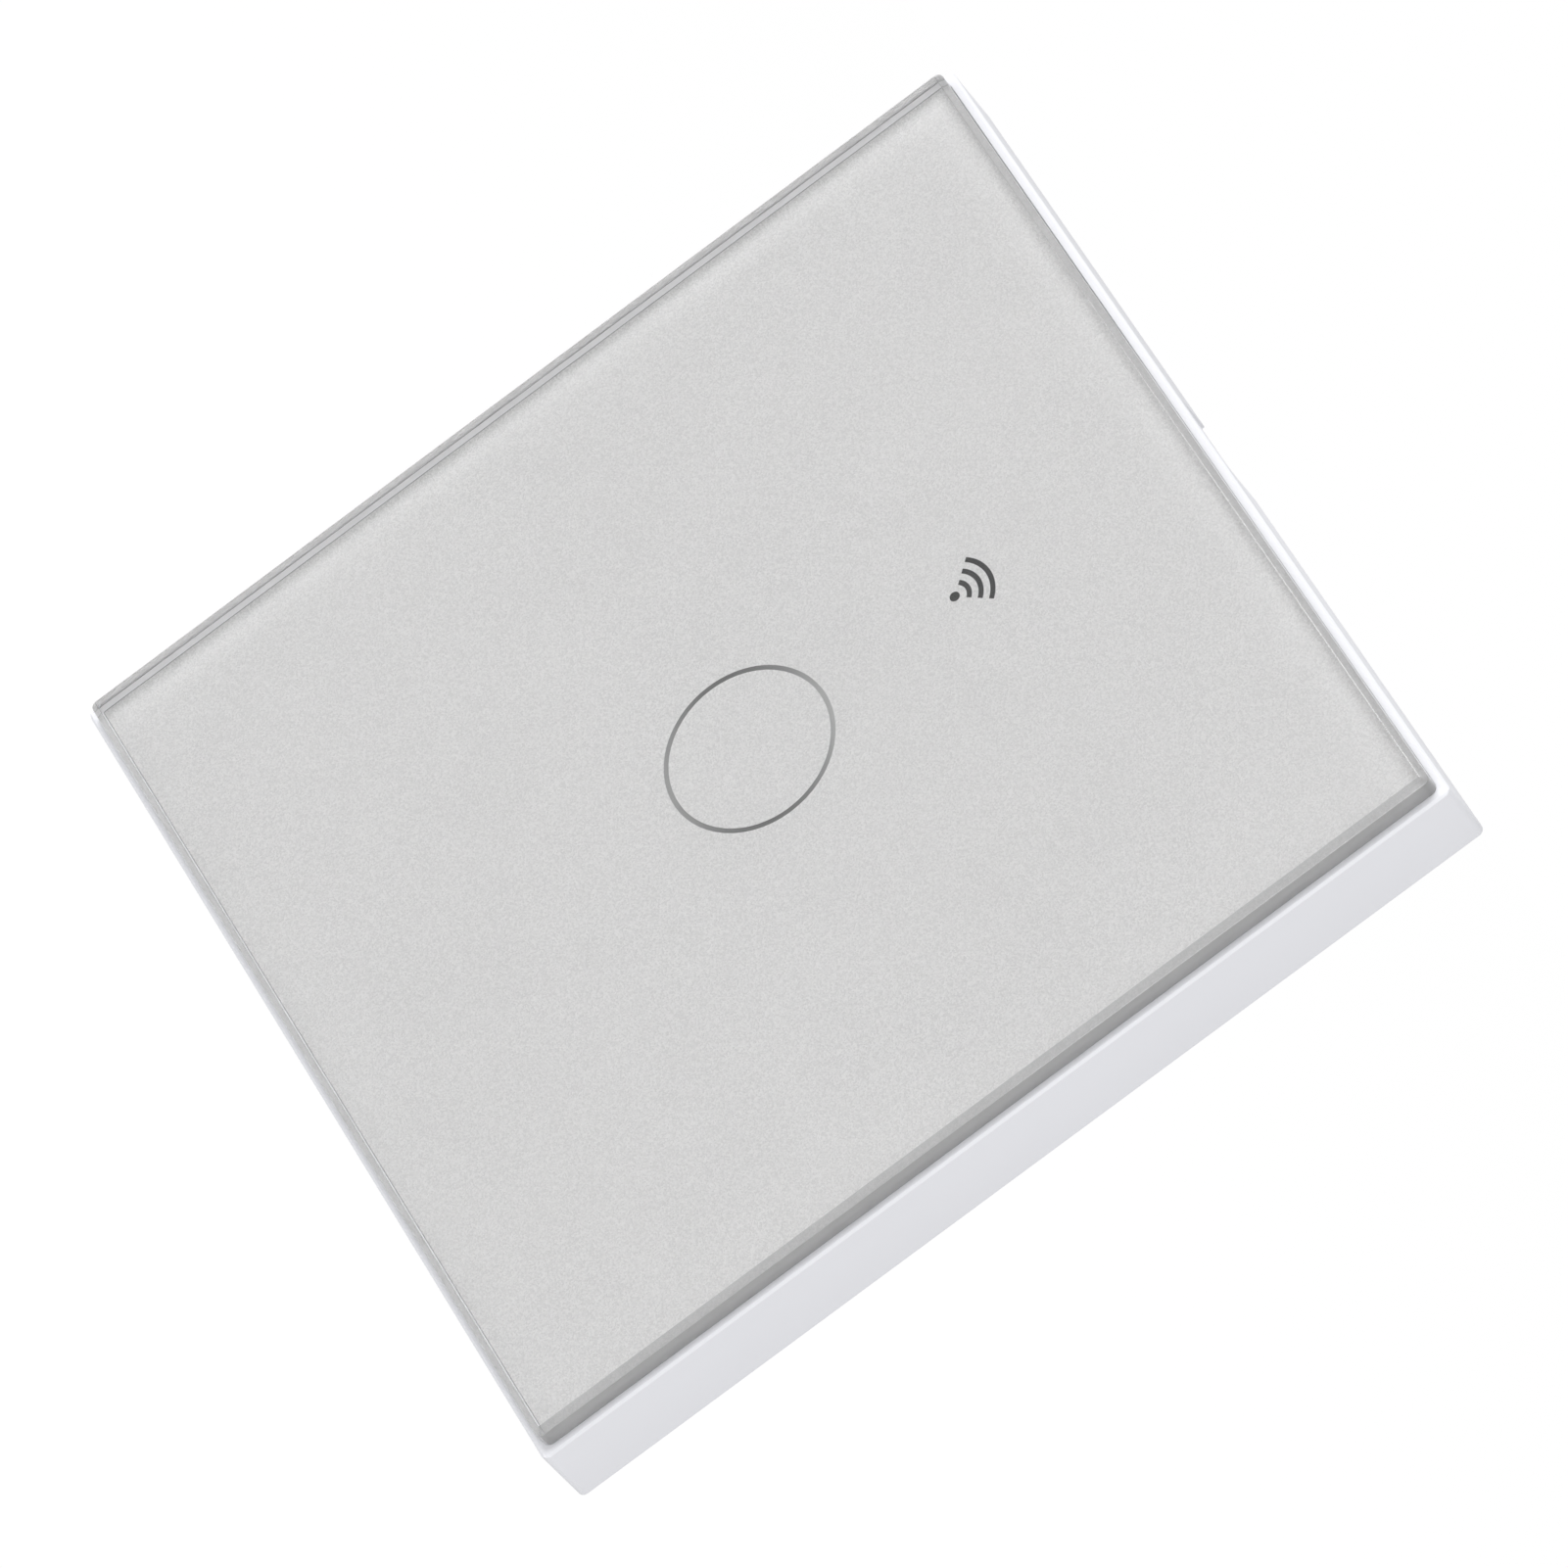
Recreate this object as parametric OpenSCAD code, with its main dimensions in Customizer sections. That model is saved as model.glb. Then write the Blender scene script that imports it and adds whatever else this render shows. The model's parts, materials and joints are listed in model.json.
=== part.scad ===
// Touch light switch for a square wall box: a bonded glass panel that clips over a mounting
// plate, with the touch board, the power module and its wire terminals behind it.
// Sizes are in millimetres. The part hangs on a wall: +Z is up, the glass faces -Y and the
// origin is the middle of the wall plane. Each sub-part is drawn lying on its back, with X to
// the right, Y up the wall and Z out of the wall, and upright() then stands it on the wall.

/* [Front frame] */
// Width of the white frame across the wall
panel_w = 86; // [80:0.5:120]
// Height of the white frame up the wall
panel_h = 86; // [80:0.5:120]
// Corner radius of the white frame
frame_corner_r = 0.6; // [0.4:0.1:4]
// Height of the frame's side, from its back edge to its lip
frame_side_h = 6.9; // [6.6:0.1:10]
// Thickness of the frame's side wall
frame_wall = 1.6; // [1.2:0.1:2.2]
// Bevel round the outer edge of the lip
lip_bevel = 0.2; // [0.1:0.05:0.3]
// Thickness of the web behind the glass
web_t = 1.2; // [0.8:0.1:1.5]
// Gap between the back edge of the frame and the wall
wall_gap = 0.25; // [0.1:0.05:0.6]
// Width of the notch for levering the panel off
notch_w = 8.7; // [5:0.1:14]
// Height of that notch from the frame's back edge
notch_h = 5; // [3:0.1:5.4]
// Radius of the notch's inner corners
notch_r = 1.2; // [0.5:0.1:2]
// Width of each clip tab
tab_w = 7; // [4:0.5:12]
// Thickness of each clip tab
tab_t = 1.2; // [0.8:0.1:1.6]
// Distance between the two clip tabs on a side
tab_spacing = 44; // [30:1:60]
// Clearance round a clip tab
tab_clear = 0.15; // [0.1:0.05:0.3]

/* [Glass] */
// White margin that shows round the glass
glass_margin = 0.75; // [0.5:0.05:2]
// Thickness of the glass
glass_t = 3; // [2:0.1:5]
// Depth that the glass sinks into the frame
glass_sink = 0.9; // [0.6:0.1:1.2]
// Bevel ground on the front and back edges of the glass
glass_bevel = 0.5; // [0.2:0.05:0.6]
// Corner radius of the glass
glass_corner_r = 0.6; // [0.6:0.1:3]
// Clearance between the glass and the lip
glass_clear = 0.1; // [0.05:0.05:0.2]
// Thickness of the silver print on the back of the glass
print_t = 0.1; // [0.05:0.05:0.2]
// Thickness of the adhesive tape
tape_t = 0.3; // [0.2:0.1:0.6]
// Width of the adhesive tape
tape_w = 6; // [3:0.5:10]

/* [Touch marks] */
// Radius of the touch ring at the middle of its line
ring_r = 7.15; // [6.8:0.05:9]
// Line width of the touch ring
ring_line = 0.4; // [0.2:0.05:0.8]
// Height of the signal mark's dot above the middle of the panel
mark_y = 19.9; // [16:0.1:24]
// Radius of the signal mark's dot
dot_r = 0.43; // [0.3:0.01:0.6]
// Radius of the first arc at the middle of its line
arc_r = 1.25; // [1:0.05:1.6]
// Step from one arc to the next
arc_step = 1; // [0.7:0.05:1.3]
// Line width of the arcs
arc_line = 0.43; // [0.2:0.01:0.6]
// Number of arcs
arc_count = 3; // [1:1:4]
// Half of the angle that the arcs span
arc_half_angle = 45; // [25:1:60]
// Clearance between the marks and the silver print round them
mark_clear = 0.01; // [0.01:0.01:0.03]

/* [Light guides] */
// Wall of the tube that lights the touch ring, each side of the ring
guide_wall = 1.1; // [0.8:0.1:1.5]
// Width of the flange that carries a guide on the web
guide_flange = 1.4; // [0.8:0.1:2]
// Thickness of that flange
guide_flange_t = 1; // [0.6:0.1:1.4]
// Clearance of a guide in the web
guide_clear = 0.05; // [0.02:0.01:0.1]
// Gap between the touch ring's tube and the lamps under it
guide_lamp_gap = 0.5; // [0.3:0.1:1]
// Radius of the rod that lights the signal mark
pipe_r = 2.9; // [2.4:0.1:4]

/* [Mounting plate] */
// Gap between the frame's inner wall and the plate's skirt
skirt_gap = 0.8; // [0.3:0.1:1.5]
// Thickness of the skirt
skirt_t = 1.5; // [1:0.1:2]
// Gap between the skirt and the web of the front frame
skirt_clear = 0.4; // [0.2:0.1:0.8]
// Thickness of the plate
plate_t = 1.8; // [1.4:0.1:2.2]
// Height of the raised seat that meets the wall
seat_h = 0.3; // [0.2:0.1:0.6]
// Width of the seat's opening round the rear housing
seat_open = 52; // [50.5:0.1:52]
// Corner radius of the plate and of the seat's opening
plate_corner_r = 3; // [1:0.5:6]
// Distance between the two wall-box screws
box_screw_spacing = 60; // [58:0.1:66]
// Width of the slots for the wall-box screws
slot_w = 4.2; // [3.6:0.1:5]
// Length of those slots
slot_l = 7; // [6:0.1:7.5]
// Depth of the seat for a screw head round each slot
slot_seat = 0.5; // [0.2:0.1:0.8]
// Margin of that seat round the slot
slot_seat_margin = 1.8; // [1:0.1:2.4]
// Distance of the round window's edge from the sides of the rear housing
window_in = 6; // [5.5:0.5:10]

/* [Rear housing] */
// Width of the rear housing
housing_w = 49; // [47:0.5:50]
// Height of the rear housing
housing_h = 49; // [47:0.5:50]
// Depth of the rear housing behind the wall plane
housing_depth = 22; // [21.5:0.5:30]
// Wall of the rear housing
housing_wall = 1.6; // [1.2:0.1:2]
// Size of its cut corners
housing_cut = 8; // [6:0.5:9]
// Radius of the screw bosses in its corners
boss_r = 2.8; // [2.4:0.1:3.2]
// How far a boss runs into the corner wall
boss_sink = 0.4; // [0.2:0.1:0.8]
// Number of air slots in its top wall
vent_count = 5; // [0:1:7]
// Width of an air slot
vent_w = 1.4; // [0.8:0.1:2]
// Length of an air slot
vent_l = 8; // [4:0.5:10]
// Spacing of the air slots
vent_pitch = 4; // [3:0.5:5]

/* [Boards] */
// Thickness of both circuit boards
board_t = 1.6; // [1:0.1:2]
// Space between the two boards
board_gap = 5.2; // [5:0.1:7]
// Clearance of the boards in the housing
board_clear = 0.2; // [0.1:0.05:0.4]
// Clearance of the boards round the corner bosses
boss_clear = 0.4; // [0.2:0.1:0.8]
// Distance of the boards' screws from the side wall of the housing
board_screw_in = 2.3; // [2.2:0.1:3]
// Radius of the posts that carry the power board
post_r = 2.1; // [1.6:0.1:2.2]

/* [Touch spring] */
// Wire thickness of the touch spring
spring_wire = 0.5; // [0.4:0.05:0.55]
// Radius of the spring's curls at the middle of the wire
spring_r = 4.2; // [3.5:0.1:4.6]
// Number of curls
spring_turns = 3.5; // [2:0.5:3.5]
// Gap between the spring and the print that it faces
spring_gap = 0.1; // [0.05:0.05:0.3]

/* [Terminals] */
// Spacing of the wire terminals
pole_pitch = 7.6; // [7.2:0.1:8]
// Number of wire terminals
pole_count = 3; // [3:1:3]
// Depth of the terminal block from the housing's lower face
block_d = 12.6; // [12.2:0.1:13]
// Clearance of the block in the housing's cut-out
block_clear = 0.2; // [0.1:0.05:0.4]
// Width of a clamp
clamp_w = 5.2; // [4.8:0.1:5.4]
// Length of a clamp along the wire
clamp_l = 6.4; // [5:0.1:6.6]
// Height of a clamp along its screw
clamp_h = 6; // [5.8:0.1:6.2]
// Wall of a clamp beside and under the wire
clamp_wall = 0.8; // [0.6:0.1:1]
// Wall of a clamp that the screw runs through
clamp_nut = 1.2; // [1:0.1:1.4]
// Clearance of a clamp in its pocket
clamp_clear = 0.2; // [0.1:0.05:0.3]
// Travel of a clamp on its screw
clamp_travel = 2; // [1.5:0.1:2]
// Thickness of the fixed current bar
bar_t = 0.8; // [0.6:0.1:1]
// Radius of a terminal screw's shank
screw_r = 1.45; // [1.2:0.05:1.6]
// Running clearance of the shank in the clamp
screw_clear = 0.05; // [0.02:0.01:0.1]
// Radius of a terminal screw's head
screw_head_r = 1.95; // [1.8:0.05:2.1]
// Height of a terminal screw's head
screw_head_h = 2; // [1.6:0.1:2.2]
// Depth of the head below the block's back face
screw_recess = 1.2; // [0.6:0.1:1.5]
// Height of a wire hole
wire_hole_h = 3; // [2:0.1:3]
// Width of a wire hole
wire_hole_w = 3.6; // [2.5:0.1:3.6]

/* [Fasteners] */
// Shank radius of the housing screws
housing_screw_r = 1.3; // [1:0.1:1.5]
// Shank length of the housing screws
housing_screw_l = 9; // [6:0.5:12]
// Head radius of the housing screws
housing_head_r = 2.5; // [2:0.1:2.8]
// Head height of the housing screws
housing_head_h = 1.6; // [1:0.1:1.8]
// Shank radius of the board screws
board_screw_r = 0.9; // [0.7:0.05:1]
// Shank length of the board screws
board_screw_l = 4; // [3.5:0.1:4.3]
// Head radius of the board screws
board_head_r = 1.8; // [1.5:0.1:1.9]
// Head height of the board screws
board_head_h = 1.2; // [0.8:0.1:1.4]
// Clearance of a screw's shank in its hole
hole_clear = 0.05; // [0.03:0.01:0.1]

/* [Hidden] */
$fn = 64;
// Overshoot of a cut past the faces that it opens
over = 1;
// Levels out of the wall, from the wall plane at 0
lip_z = wall_gap + frame_side_h;
glass_back_z = lip_z - glass_sink;
print_back_z = glass_back_z - print_t;
web_front_z = print_back_z - tape_t;
web_back_z = web_front_z - web_t;
plate_front_z = seat_h + plate_t;
skirt_top_z = web_back_z - skirt_clear;
touch_front_z = seat_h;
touch_back_z = touch_front_z - board_t;
power_front_z = touch_back_z - board_gap;
power_back_z = power_front_z - board_t;
housing_back_z = -housing_depth;
housing_floor_z = housing_back_z + housing_wall;

// Glass, print and tape outlines
glass_w = panel_w - 2 * glass_margin;
glass_h = panel_h - 2 * glass_margin;
print_w = glass_w - 2 * glass_bevel;
print_h = glass_h - 2 * glass_bevel;
// Least corner radius of the print
print_corner_least = 0.1;
print_corner_r = max(glass_corner_r - glass_bevel, print_corner_least);

// Plate outline inside the frame
inner_w = panel_w - 2 * frame_wall;
inner_h = panel_h - 2 * frame_wall;
inner_r = max(frame_corner_r - frame_wall, 0.3);
plate_w = inner_w - 2 * skirt_gap;
plate_h = inner_h - 2 * skirt_gap;
tab_x = plate_w / 2 - skirt_t - tab_clear - tab_t / 2;
tab_end_z = seat_h + tab_clear;
slot_seat_l = slot_l + 2 * slot_seat_margin;
slot_seat_w = slot_w + 2 * slot_seat_margin;
window_r = min(housing_w, housing_h) / 2 - window_in;

// Boards, bosses and screws inside the housing
// A cut corner shrinks by this share when its outline moves in
cut_share = 2 - sqrt(2);
board_in = housing_wall + board_clear;
board_w = housing_w - 2 * board_in;
board_h = housing_h - 2 * board_in;
board_cut = housing_cut - cut_share * board_in;
inner_cut = housing_cut - cut_share * housing_wall;
boss_in = housing_cut / 2 + (housing_wall + boss_r - boss_sink) / sqrt(2);
boss_x = housing_w / 2 - boss_in;
boss_y = housing_h / 2 - boss_in;
board_screw_x = board_w / 2 - board_screw_in + board_clear;
board_post_y = 2;
boss_cover = 0.6;
plate_boss_r = post_r;
plate_boss_h = board_screw_l - board_t - plate_t + boss_cover;
hole_extra = 1;
pass_clear = 4 * hole_clear;

// Light guides and the lamps under them
guide_out_r = ring_r + guide_wall;
guide_in_r = ring_r - guide_wall;
lamp_h = 0.7;
lamp_w = 2;
lamp_d = 1.25;
guide_end_z = touch_front_z + lamp_h + guide_lamp_gap;
guide_top_z = print_back_z - guide_clear;
mark_h = arc_r + (arc_count - 1) * arc_step + arc_line / 2 + dot_r;
pipe_y = mark_y - dot_r + mark_h / 2;
pipe_end_z = plate_front_z + guide_lamp_gap;
status_lamp_w = 1.6;
status_hole_r = 1.5;
status_y = min(pipe_y, board_h / 2 - status_hole_r);

// Terminal block and what runs in it, from the housing's back and lower faces
block_end = 0.3;
block_w = pole_count * pole_pitch + 2 * block_end;
block_low_y = -housing_h / 2;
block_top_y = block_low_y + block_d;
block_wall = 1.7;
clamp_low_y = block_low_y + block_wall + clamp_clear;
pole_y = clamp_low_y + clamp_l / 2;
head_under_z = housing_back_z + screw_recess + screw_head_h;
ledge_gap = 0.1;
ledge_t = 1.1;
pocket_back_z = head_under_z + ledge_gap + ledge_t;
clamp_back_z = pocket_back_z + clamp_clear + clamp_travel;
clamp_front_z = clamp_back_z + clamp_h;
pocket_front_z = clamp_front_z + 2 * clamp_clear;
bar_back_z = clamp_back_z + clamp_nut + clamp_clear;
bar_front_z = bar_back_z + bar_t;
wire_back_z = bar_front_z + clamp_clear;
bar_w = clamp_w - 2 * clamp_wall - 2 * clamp_clear;
bar_low_y = clamp_low_y + clamp_clear;
bar_top_y = block_top_y - block_wall / 2 - clamp_clear;
pocket_top_y = block_top_y - block_wall / 2;
driver_slot = 0.6;

// Header between the boards
header_pins_n = 6;
header_pitch = 2.54;
header_w = header_pins_n * header_pitch;
header_d = 2.5;
header_t = 1.5;
header_in = 9;
header_y = board_h / 2 - header_in;
pin_side = 0.64;
socket_gap = 0.2;
socket_hole = 0.9;
socket_floor = 0.3;

// Components in the space between the power board and the housing's floor
part_space = power_back_z - housing_floor_z;
tall_clear = 0.8;
tall_h = part_space - tall_clear;
case_bevel = 0.3;
part_gap = 1;
left_x = -11.4;
right_x = 14;
fuse_w = 8.4;
fuse_d = 3.8;
fuse_h = 0.65 * part_space;
fuse_y = block_top_y + part_gap + fuse_d / 2;
relay_w = 10.2;
relay_low_y = fuse_y + fuse_d / 2 + part_gap;
relay_top_y = boss_y - boss_r - 3 * part_gap;
relay_d = relay_top_y - relay_low_y;
relay_y = relay_low_y + relay_d / 2;
film_w = 13;
film_d = 5;
film_h = 0.9 * part_space;
film_y = board_h / 2 - 2 * part_gap - film_d / 2;
bulk_r = 4;
bulk_y = block_top_y + 2 * part_gap + bulk_r;
output_r = 3.15;
output_h = 0.73 * part_space;
output_y = bulk_y + bulk_r + part_gap + output_r;
choke_r = 2.9;
choke_h = 0.6 * part_space;
choke_x = 5.6;
low_row_y = block_top_y + 1.5 * part_gap + choke_r;
varistor_x = -1.5;
transformer_x = 2.6;
transformer_y = (low_row_y + choke_r + film_y - film_d / 2) / 2;
bridge_x = -14.6;
bridge_y = -9.5;
bridge_w = 4.7;
bridge_d = 3.9;
bridge_h = 2.4;

white_plastic = [0.93, 0.93, 0.95];
board_green = [0.12, 0.34, 0.22];
zinc = [0.78, 0.79, 0.8];
brass = [0.8, 0.65, 0.35];
black_plastic = [0.1, 0.1, 0.11];

// Stands a sub-part drawn on its back against the wall
module upright() {
  rotate([90, 0, 0]) children();
}

// Rounded rectangle about the origin
module rounded_rect(w, h, r) {
  square([w - 2 * r, h], center = true);
  square([w, h - 2 * r], center = true);
  for (sx = [-1, 1], sy = [-1, 1])
    translate([sx * (w / 2 - r), sy * (h / 2 - r)]) circle(r);
}

// Rectangle with cut corners about the origin
module cut_rect(w, h, c) {
  x = w / 2;
  y = h / 2;
  polygon([
    [x - c, y], [c - x, y], [-x, y - c], [-x, c - y],
    [c - x, -y], [x - c, -y], [x, c - y], [x, y - c]
  ]);
}

// Slot along X about the origin, with round ends
module round_slot(l, w) {
  square([l - w, w], center = true);
  for (s = [-1, 1]) translate([s * (l - w) / 2, 0]) circle(w / 2);
}

// Box of a width, depth and height that stands on Z = 0 about the origin
module block_on(w, d, h) {
  translate([-w / 2, -d / 2, 0]) cube([w, d, h]);
}

// Section of a slab across a width, bevelled at the top by a and at the bottom by b
function bevel_section(w, t, a, b) = concat(
  b > 0 ? [[b - w / 2, 0], [w / 2 - b, 0], [w / 2, b]] : [[-w / 2, 0], [w / 2, 0]],
  a > 0 ? [[w / 2, t - a], [w / 2 - a, t], [a - w / 2, t], [-w / 2, t - a]]
        : [[w / 2, t], [-w / 2, t]],
  b > 0 ? [[-w / 2, b]] : []
);

// Slab with round corners whose top and bottom edges are bevelled
module bevelled_slab(w, h, t, r, a, b) {
  intersection() {
    linear_extrude(t) rounded_rect(w, h, r);
    rotate([90, 0, 0]) linear_extrude(h + 2 * over, center = true)
      polygon(bevel_section(w, t, a, b));
    rotate([90, 0, 90]) linear_extrude(w + 2 * over, center = true)
      polygon(bevel_section(h, t, a, b));
  }
}

// Box component on the back of the power board, with slightly bevelled edges
module boxed_part(x, y, w, d, h) {
  translate([x, y, power_back_z]) mirror([0, 0, 1])
    bevelled_slab(w, d, h, 2 * case_bevel, case_bevel, 0);
}

// Screw with its shank along -Z from the origin and a cross recess in its head
module cross_screw(head_r, head_h, shank_r, shank_l) {
  recess_l = 1.3 * head_r;
  recess_w = 0.3 * head_r;
  recess_d = 0.5 * head_h;
  difference() {
    union() {
      cylinder(r = head_r, h = head_h);
      translate([0, 0, -shank_l]) cylinder(r = shank_r, h = shank_l);
    }
    for (a = [0, 90]) rotate(a)
      translate([-recess_l / 2, -recess_w / 2, head_h - recess_d])
        cube([recess_l, recess_w, recess_d + over]);
  }
}

// Repeats its children at the four corner bosses
module at_bosses() {
  for (sx = [-1, 1], sy = [-1, 1]) translate([sx * boss_x, sy * boss_y, 0]) children();
}

// Repeats its children at the two screws of the touch board
module at_touch_screws() {
  for (s = [-1, 1]) translate([s * board_screw_x, 0, 0]) children();
}

// Repeats its children at the two screws of the power board
module at_power_screws() {
  for (s = [-1, 1]) translate([s * board_screw_x, board_post_y, 0]) children();
}

// Outline of both circuit boards, notched round the corner bosses
module board_outline() {
  difference() {
    cut_rect(board_w, board_h, board_cut);
    for (sx = [-1, 1], sy = [-1, 1]) translate([sx * boss_x, sy * boss_y])
      circle(boss_r + boss_clear);
  }
}

// Half-open sector of a circle about +Y
module up_sector(r, half_angle) {
  reach = r / cos(half_angle);
  polygon([
    [0, 0],
    [reach * sin(half_angle), reach * cos(half_angle)],
    [0, 2 * reach],
    [-reach * sin(half_angle), reach * cos(half_angle)]
  ]);
}

// Flat outlines of the touch ring and the signal mark, grown all round by a clearance
module mark_outlines(grow) {
  difference() {
    circle(ring_r + ring_line / 2 + grow);
    circle(ring_r - ring_line / 2 - grow);
  }
  translate([0, mark_y]) {
    circle(dot_r + grow);
    for (i = [0 : arc_count - 1]) {
      r = arc_r + i * arc_step;
      out_r = r + arc_line / 2 + grow;
      in_r = r - arc_line / 2 - grow;
      intersection() {
        difference() {
          circle(out_r);
          circle(in_r);
        }
        up_sector(out_r, arc_half_angle + asin(grow / r));
      }
    }
  }
}

// Clear toughened glass with ground edges
module glass_panel() {
  color([0.8, 0.82, 0.82, 0.5]) upright() translate([0, 0, glass_back_z])
    bevelled_slab(glass_w, glass_h, glass_t, glass_corner_r, glass_bevel, glass_bevel);
}

// Silver print on the back of the glass, open at the marks
module silver_print() {
  color([0.82, 0.82, 0.82]) upright() translate([0, 0, print_back_z])
    linear_extrude(print_t) difference() {
      rounded_rect(print_w, print_h, print_corner_r);
      mark_outlines(mark_clear);
    }
}

// Smoky print that fills the touch ring and the signal mark and lets light through
module touch_marks() {
  color([0.24, 0.24, 0.25]) upright() translate([0, 0, print_back_z])
    linear_extrude(print_t) mark_outlines(0);
}

// Adhesive tape that bonds the printed glass to the web of the frame
module panel_tape() {
  color([0.9, 0.9, 0.88]) upright() translate([0, 0, web_front_z])
    linear_extrude(tape_t) difference() {
      rounded_rect(print_w, print_h, print_corner_r);
      square([print_w - 2 * tape_w, print_h - 2 * tape_w], center = true);
    }
}

// White frame that carries the glass, with its lip, web, clip tabs and levering notch
module panel_frame() {
  lip_in = glass_margin - glass_clear;
  color(white_plastic) upright() difference() {
    union() {
      difference() {
        translate([0, 0, wall_gap])
          bevelled_slab(panel_w, panel_h, frame_side_h, frame_corner_r, lip_bevel, 0);
        translate([0, 0, wall_gap - over]) linear_extrude(web_back_z - wall_gap + over)
          rounded_rect(inner_w, inner_h, inner_r);
      }
      for (sx = [-1, 1], sy = [-1, 1])
        translate([sx * tab_x, sy * tab_spacing / 2, tab_end_z])
          block_on(tab_t, tab_w, web_back_z - tab_end_z + web_t / 2);
    }
    translate([0, 0, web_front_z]) linear_extrude(lip_z - web_front_z + over)
      rounded_rect(panel_w - 2 * lip_in, panel_h - 2 * lip_in, glass_corner_r + glass_clear);
    cylinder(r = guide_out_r + guide_clear, h = lip_z);
    translate([0, pipe_y, 0]) cylinder(r = pipe_r + guide_clear, h = lip_z);
    translate([0, panel_h / 2 + over, wall_gap]) rotate([90, 0, 0])
      linear_extrude(frame_wall + 2 * over) {
        translate([0, (notch_h - notch_r - over) / 2])
          square([notch_w, notch_h - notch_r + over], center = true);
        translate([0, notch_h - notch_r]) square([notch_w - 2 * notch_r, 2 * notch_r], center = true);
        for (s = [-1, 1]) translate([s * (notch_w / 2 - notch_r), notch_h - notch_r]) circle(notch_r);
      }
  }
}

// Frosted tube that carries the lamps' light to the touch ring
module ring_light_guide() {
  color([0.95, 0.95, 0.95, 0.8]) upright() difference() {
    union() {
      translate([0, 0, guide_end_z]) cylinder(r = guide_out_r, h = guide_top_z - guide_end_z);
      translate([0, 0, web_back_z - guide_flange_t])
        cylinder(r = guide_out_r + guide_flange, h = guide_flange_t);
    }
    translate([0, 0, guide_end_z - over])
      cylinder(r = guide_in_r, h = guide_top_z - guide_end_z + 2 * over);
  }
}

// Frosted rod that carries the status lamp's light to the signal mark
module status_light_pipe() {
  color([0.95, 0.95, 0.95, 0.8]) upright() translate([0, pipe_y, 0]) {
    translate([0, 0, pipe_end_z]) cylinder(r = pipe_r, h = guide_top_z - pipe_end_z);
    translate([0, 0, web_back_z - guide_flange_t])
      cylinder(r = pipe_r + guide_flange, h = guide_flange_t);
  }
}

// White plate that is screwed to the wall box and takes the clip tabs
module mounting_plate() {
  pilot_r = board_screw_r + hole_clear;
  color(white_plastic) upright() difference() {
    union() {
      linear_extrude(plate_front_z) rounded_rect(plate_w, plate_h, plate_corner_r);
      linear_extrude(skirt_top_z) difference() {
        rounded_rect(plate_w, plate_h, plate_corner_r);
        rounded_rect(plate_w - 2 * skirt_t, plate_h - 2 * skirt_t, plate_corner_r - skirt_t / 2);
      }
      at_touch_screws() cylinder(r = plate_boss_r, h = plate_front_z + plate_boss_h);
    }
    translate([0, 0, -over]) linear_extrude(seat_h + over)
      rounded_rect(seat_open, seat_open, plate_corner_r);
    translate([0, 0, -over]) cylinder(r = window_r, h = skirt_top_z + 2 * over);
    translate([0, status_y, -over]) cylinder(r = status_hole_r, h = plate_front_z + 2 * over);
    at_bosses() cylinder(r = housing_screw_r + pass_clear, h = plate_front_z + over);
    at_touch_screws() cylinder(r = pilot_r, h = seat_h + board_screw_l - board_t + hole_extra / 2);
    for (s = [-1, 1]) translate([s * box_screw_spacing / 2, 0, -over]) {
      linear_extrude(plate_front_z + 2 * over) round_slot(slot_l, slot_w);
      translate([0, 0, over + plate_front_z - slot_seat]) linear_extrude(slot_seat + over)
        round_slot(slot_seat_l, slot_seat_w);
    }
    for (sx = [-1, 1], sy = [-1, 1])
      translate([sx * tab_x, sy * tab_spacing / 2, -over])
        block_on(tab_t + 2 * tab_clear, tab_w + 2 * tab_clear, plate_front_z + 2 * over);
  }
}

// Cut-corner box behind the wall that holds the power board
module rear_housing() {
  height = seat_h + housing_depth;
  vent_z = housing_floor_z + (power_back_z - housing_floor_z - vent_l) / 2;
  color([0.9, 0.9, 0.9]) upright() difference() {
    union() {
      difference() {
        translate([0, 0, housing_back_z]) linear_extrude(height)
          cut_rect(housing_w, housing_h, housing_cut);
        translate([0, 0, housing_floor_z]) linear_extrude(height)
          cut_rect(housing_w - 2 * housing_wall, housing_h - 2 * housing_wall, inner_cut);
      }
      at_bosses() translate([0, 0, housing_back_z + housing_wall / 2])
        cylinder(r = boss_r, h = height - housing_wall / 2);
      at_power_screws() translate([0, 0, housing_back_z + housing_wall / 2])
        cylinder(r = post_r, h = power_back_z - housing_back_z - housing_wall / 2);
    }
    at_bosses() translate([0, 0, plate_front_z - housing_screw_l - hole_extra])
      cylinder(r = housing_screw_r + hole_clear, h = housing_screw_l + hole_extra);
    at_power_screws() translate([0, 0, power_front_z - board_screw_l - hole_extra / 2])
      cylinder(r = board_screw_r + hole_clear, h = board_screw_l + hole_extra);
    translate([0, block_low_y - over, housing_back_z - over])
      translate([-block_w / 2 - block_clear, 0, 0])
        cube([block_w + 2 * block_clear, block_d + over + block_clear,
              power_back_z - housing_back_z + over + block_clear]);
    for (i = [0 : 1 : vent_count - 1])
      translate([(i - (vent_count - 1) / 2) * vent_pitch - vent_w / 2,
                 housing_h / 2 - housing_wall - over, vent_z])
        cube([vent_w, housing_wall + 2 * over, vent_l]);
  }
}

// Screws that hold the rear housing to the mounting plate
module housing_screws() {
  color(zinc) upright() at_bosses() translate([0, 0, plate_front_z])
    cross_screw(housing_head_r, housing_head_h, housing_screw_r, housing_screw_l);
}

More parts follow.
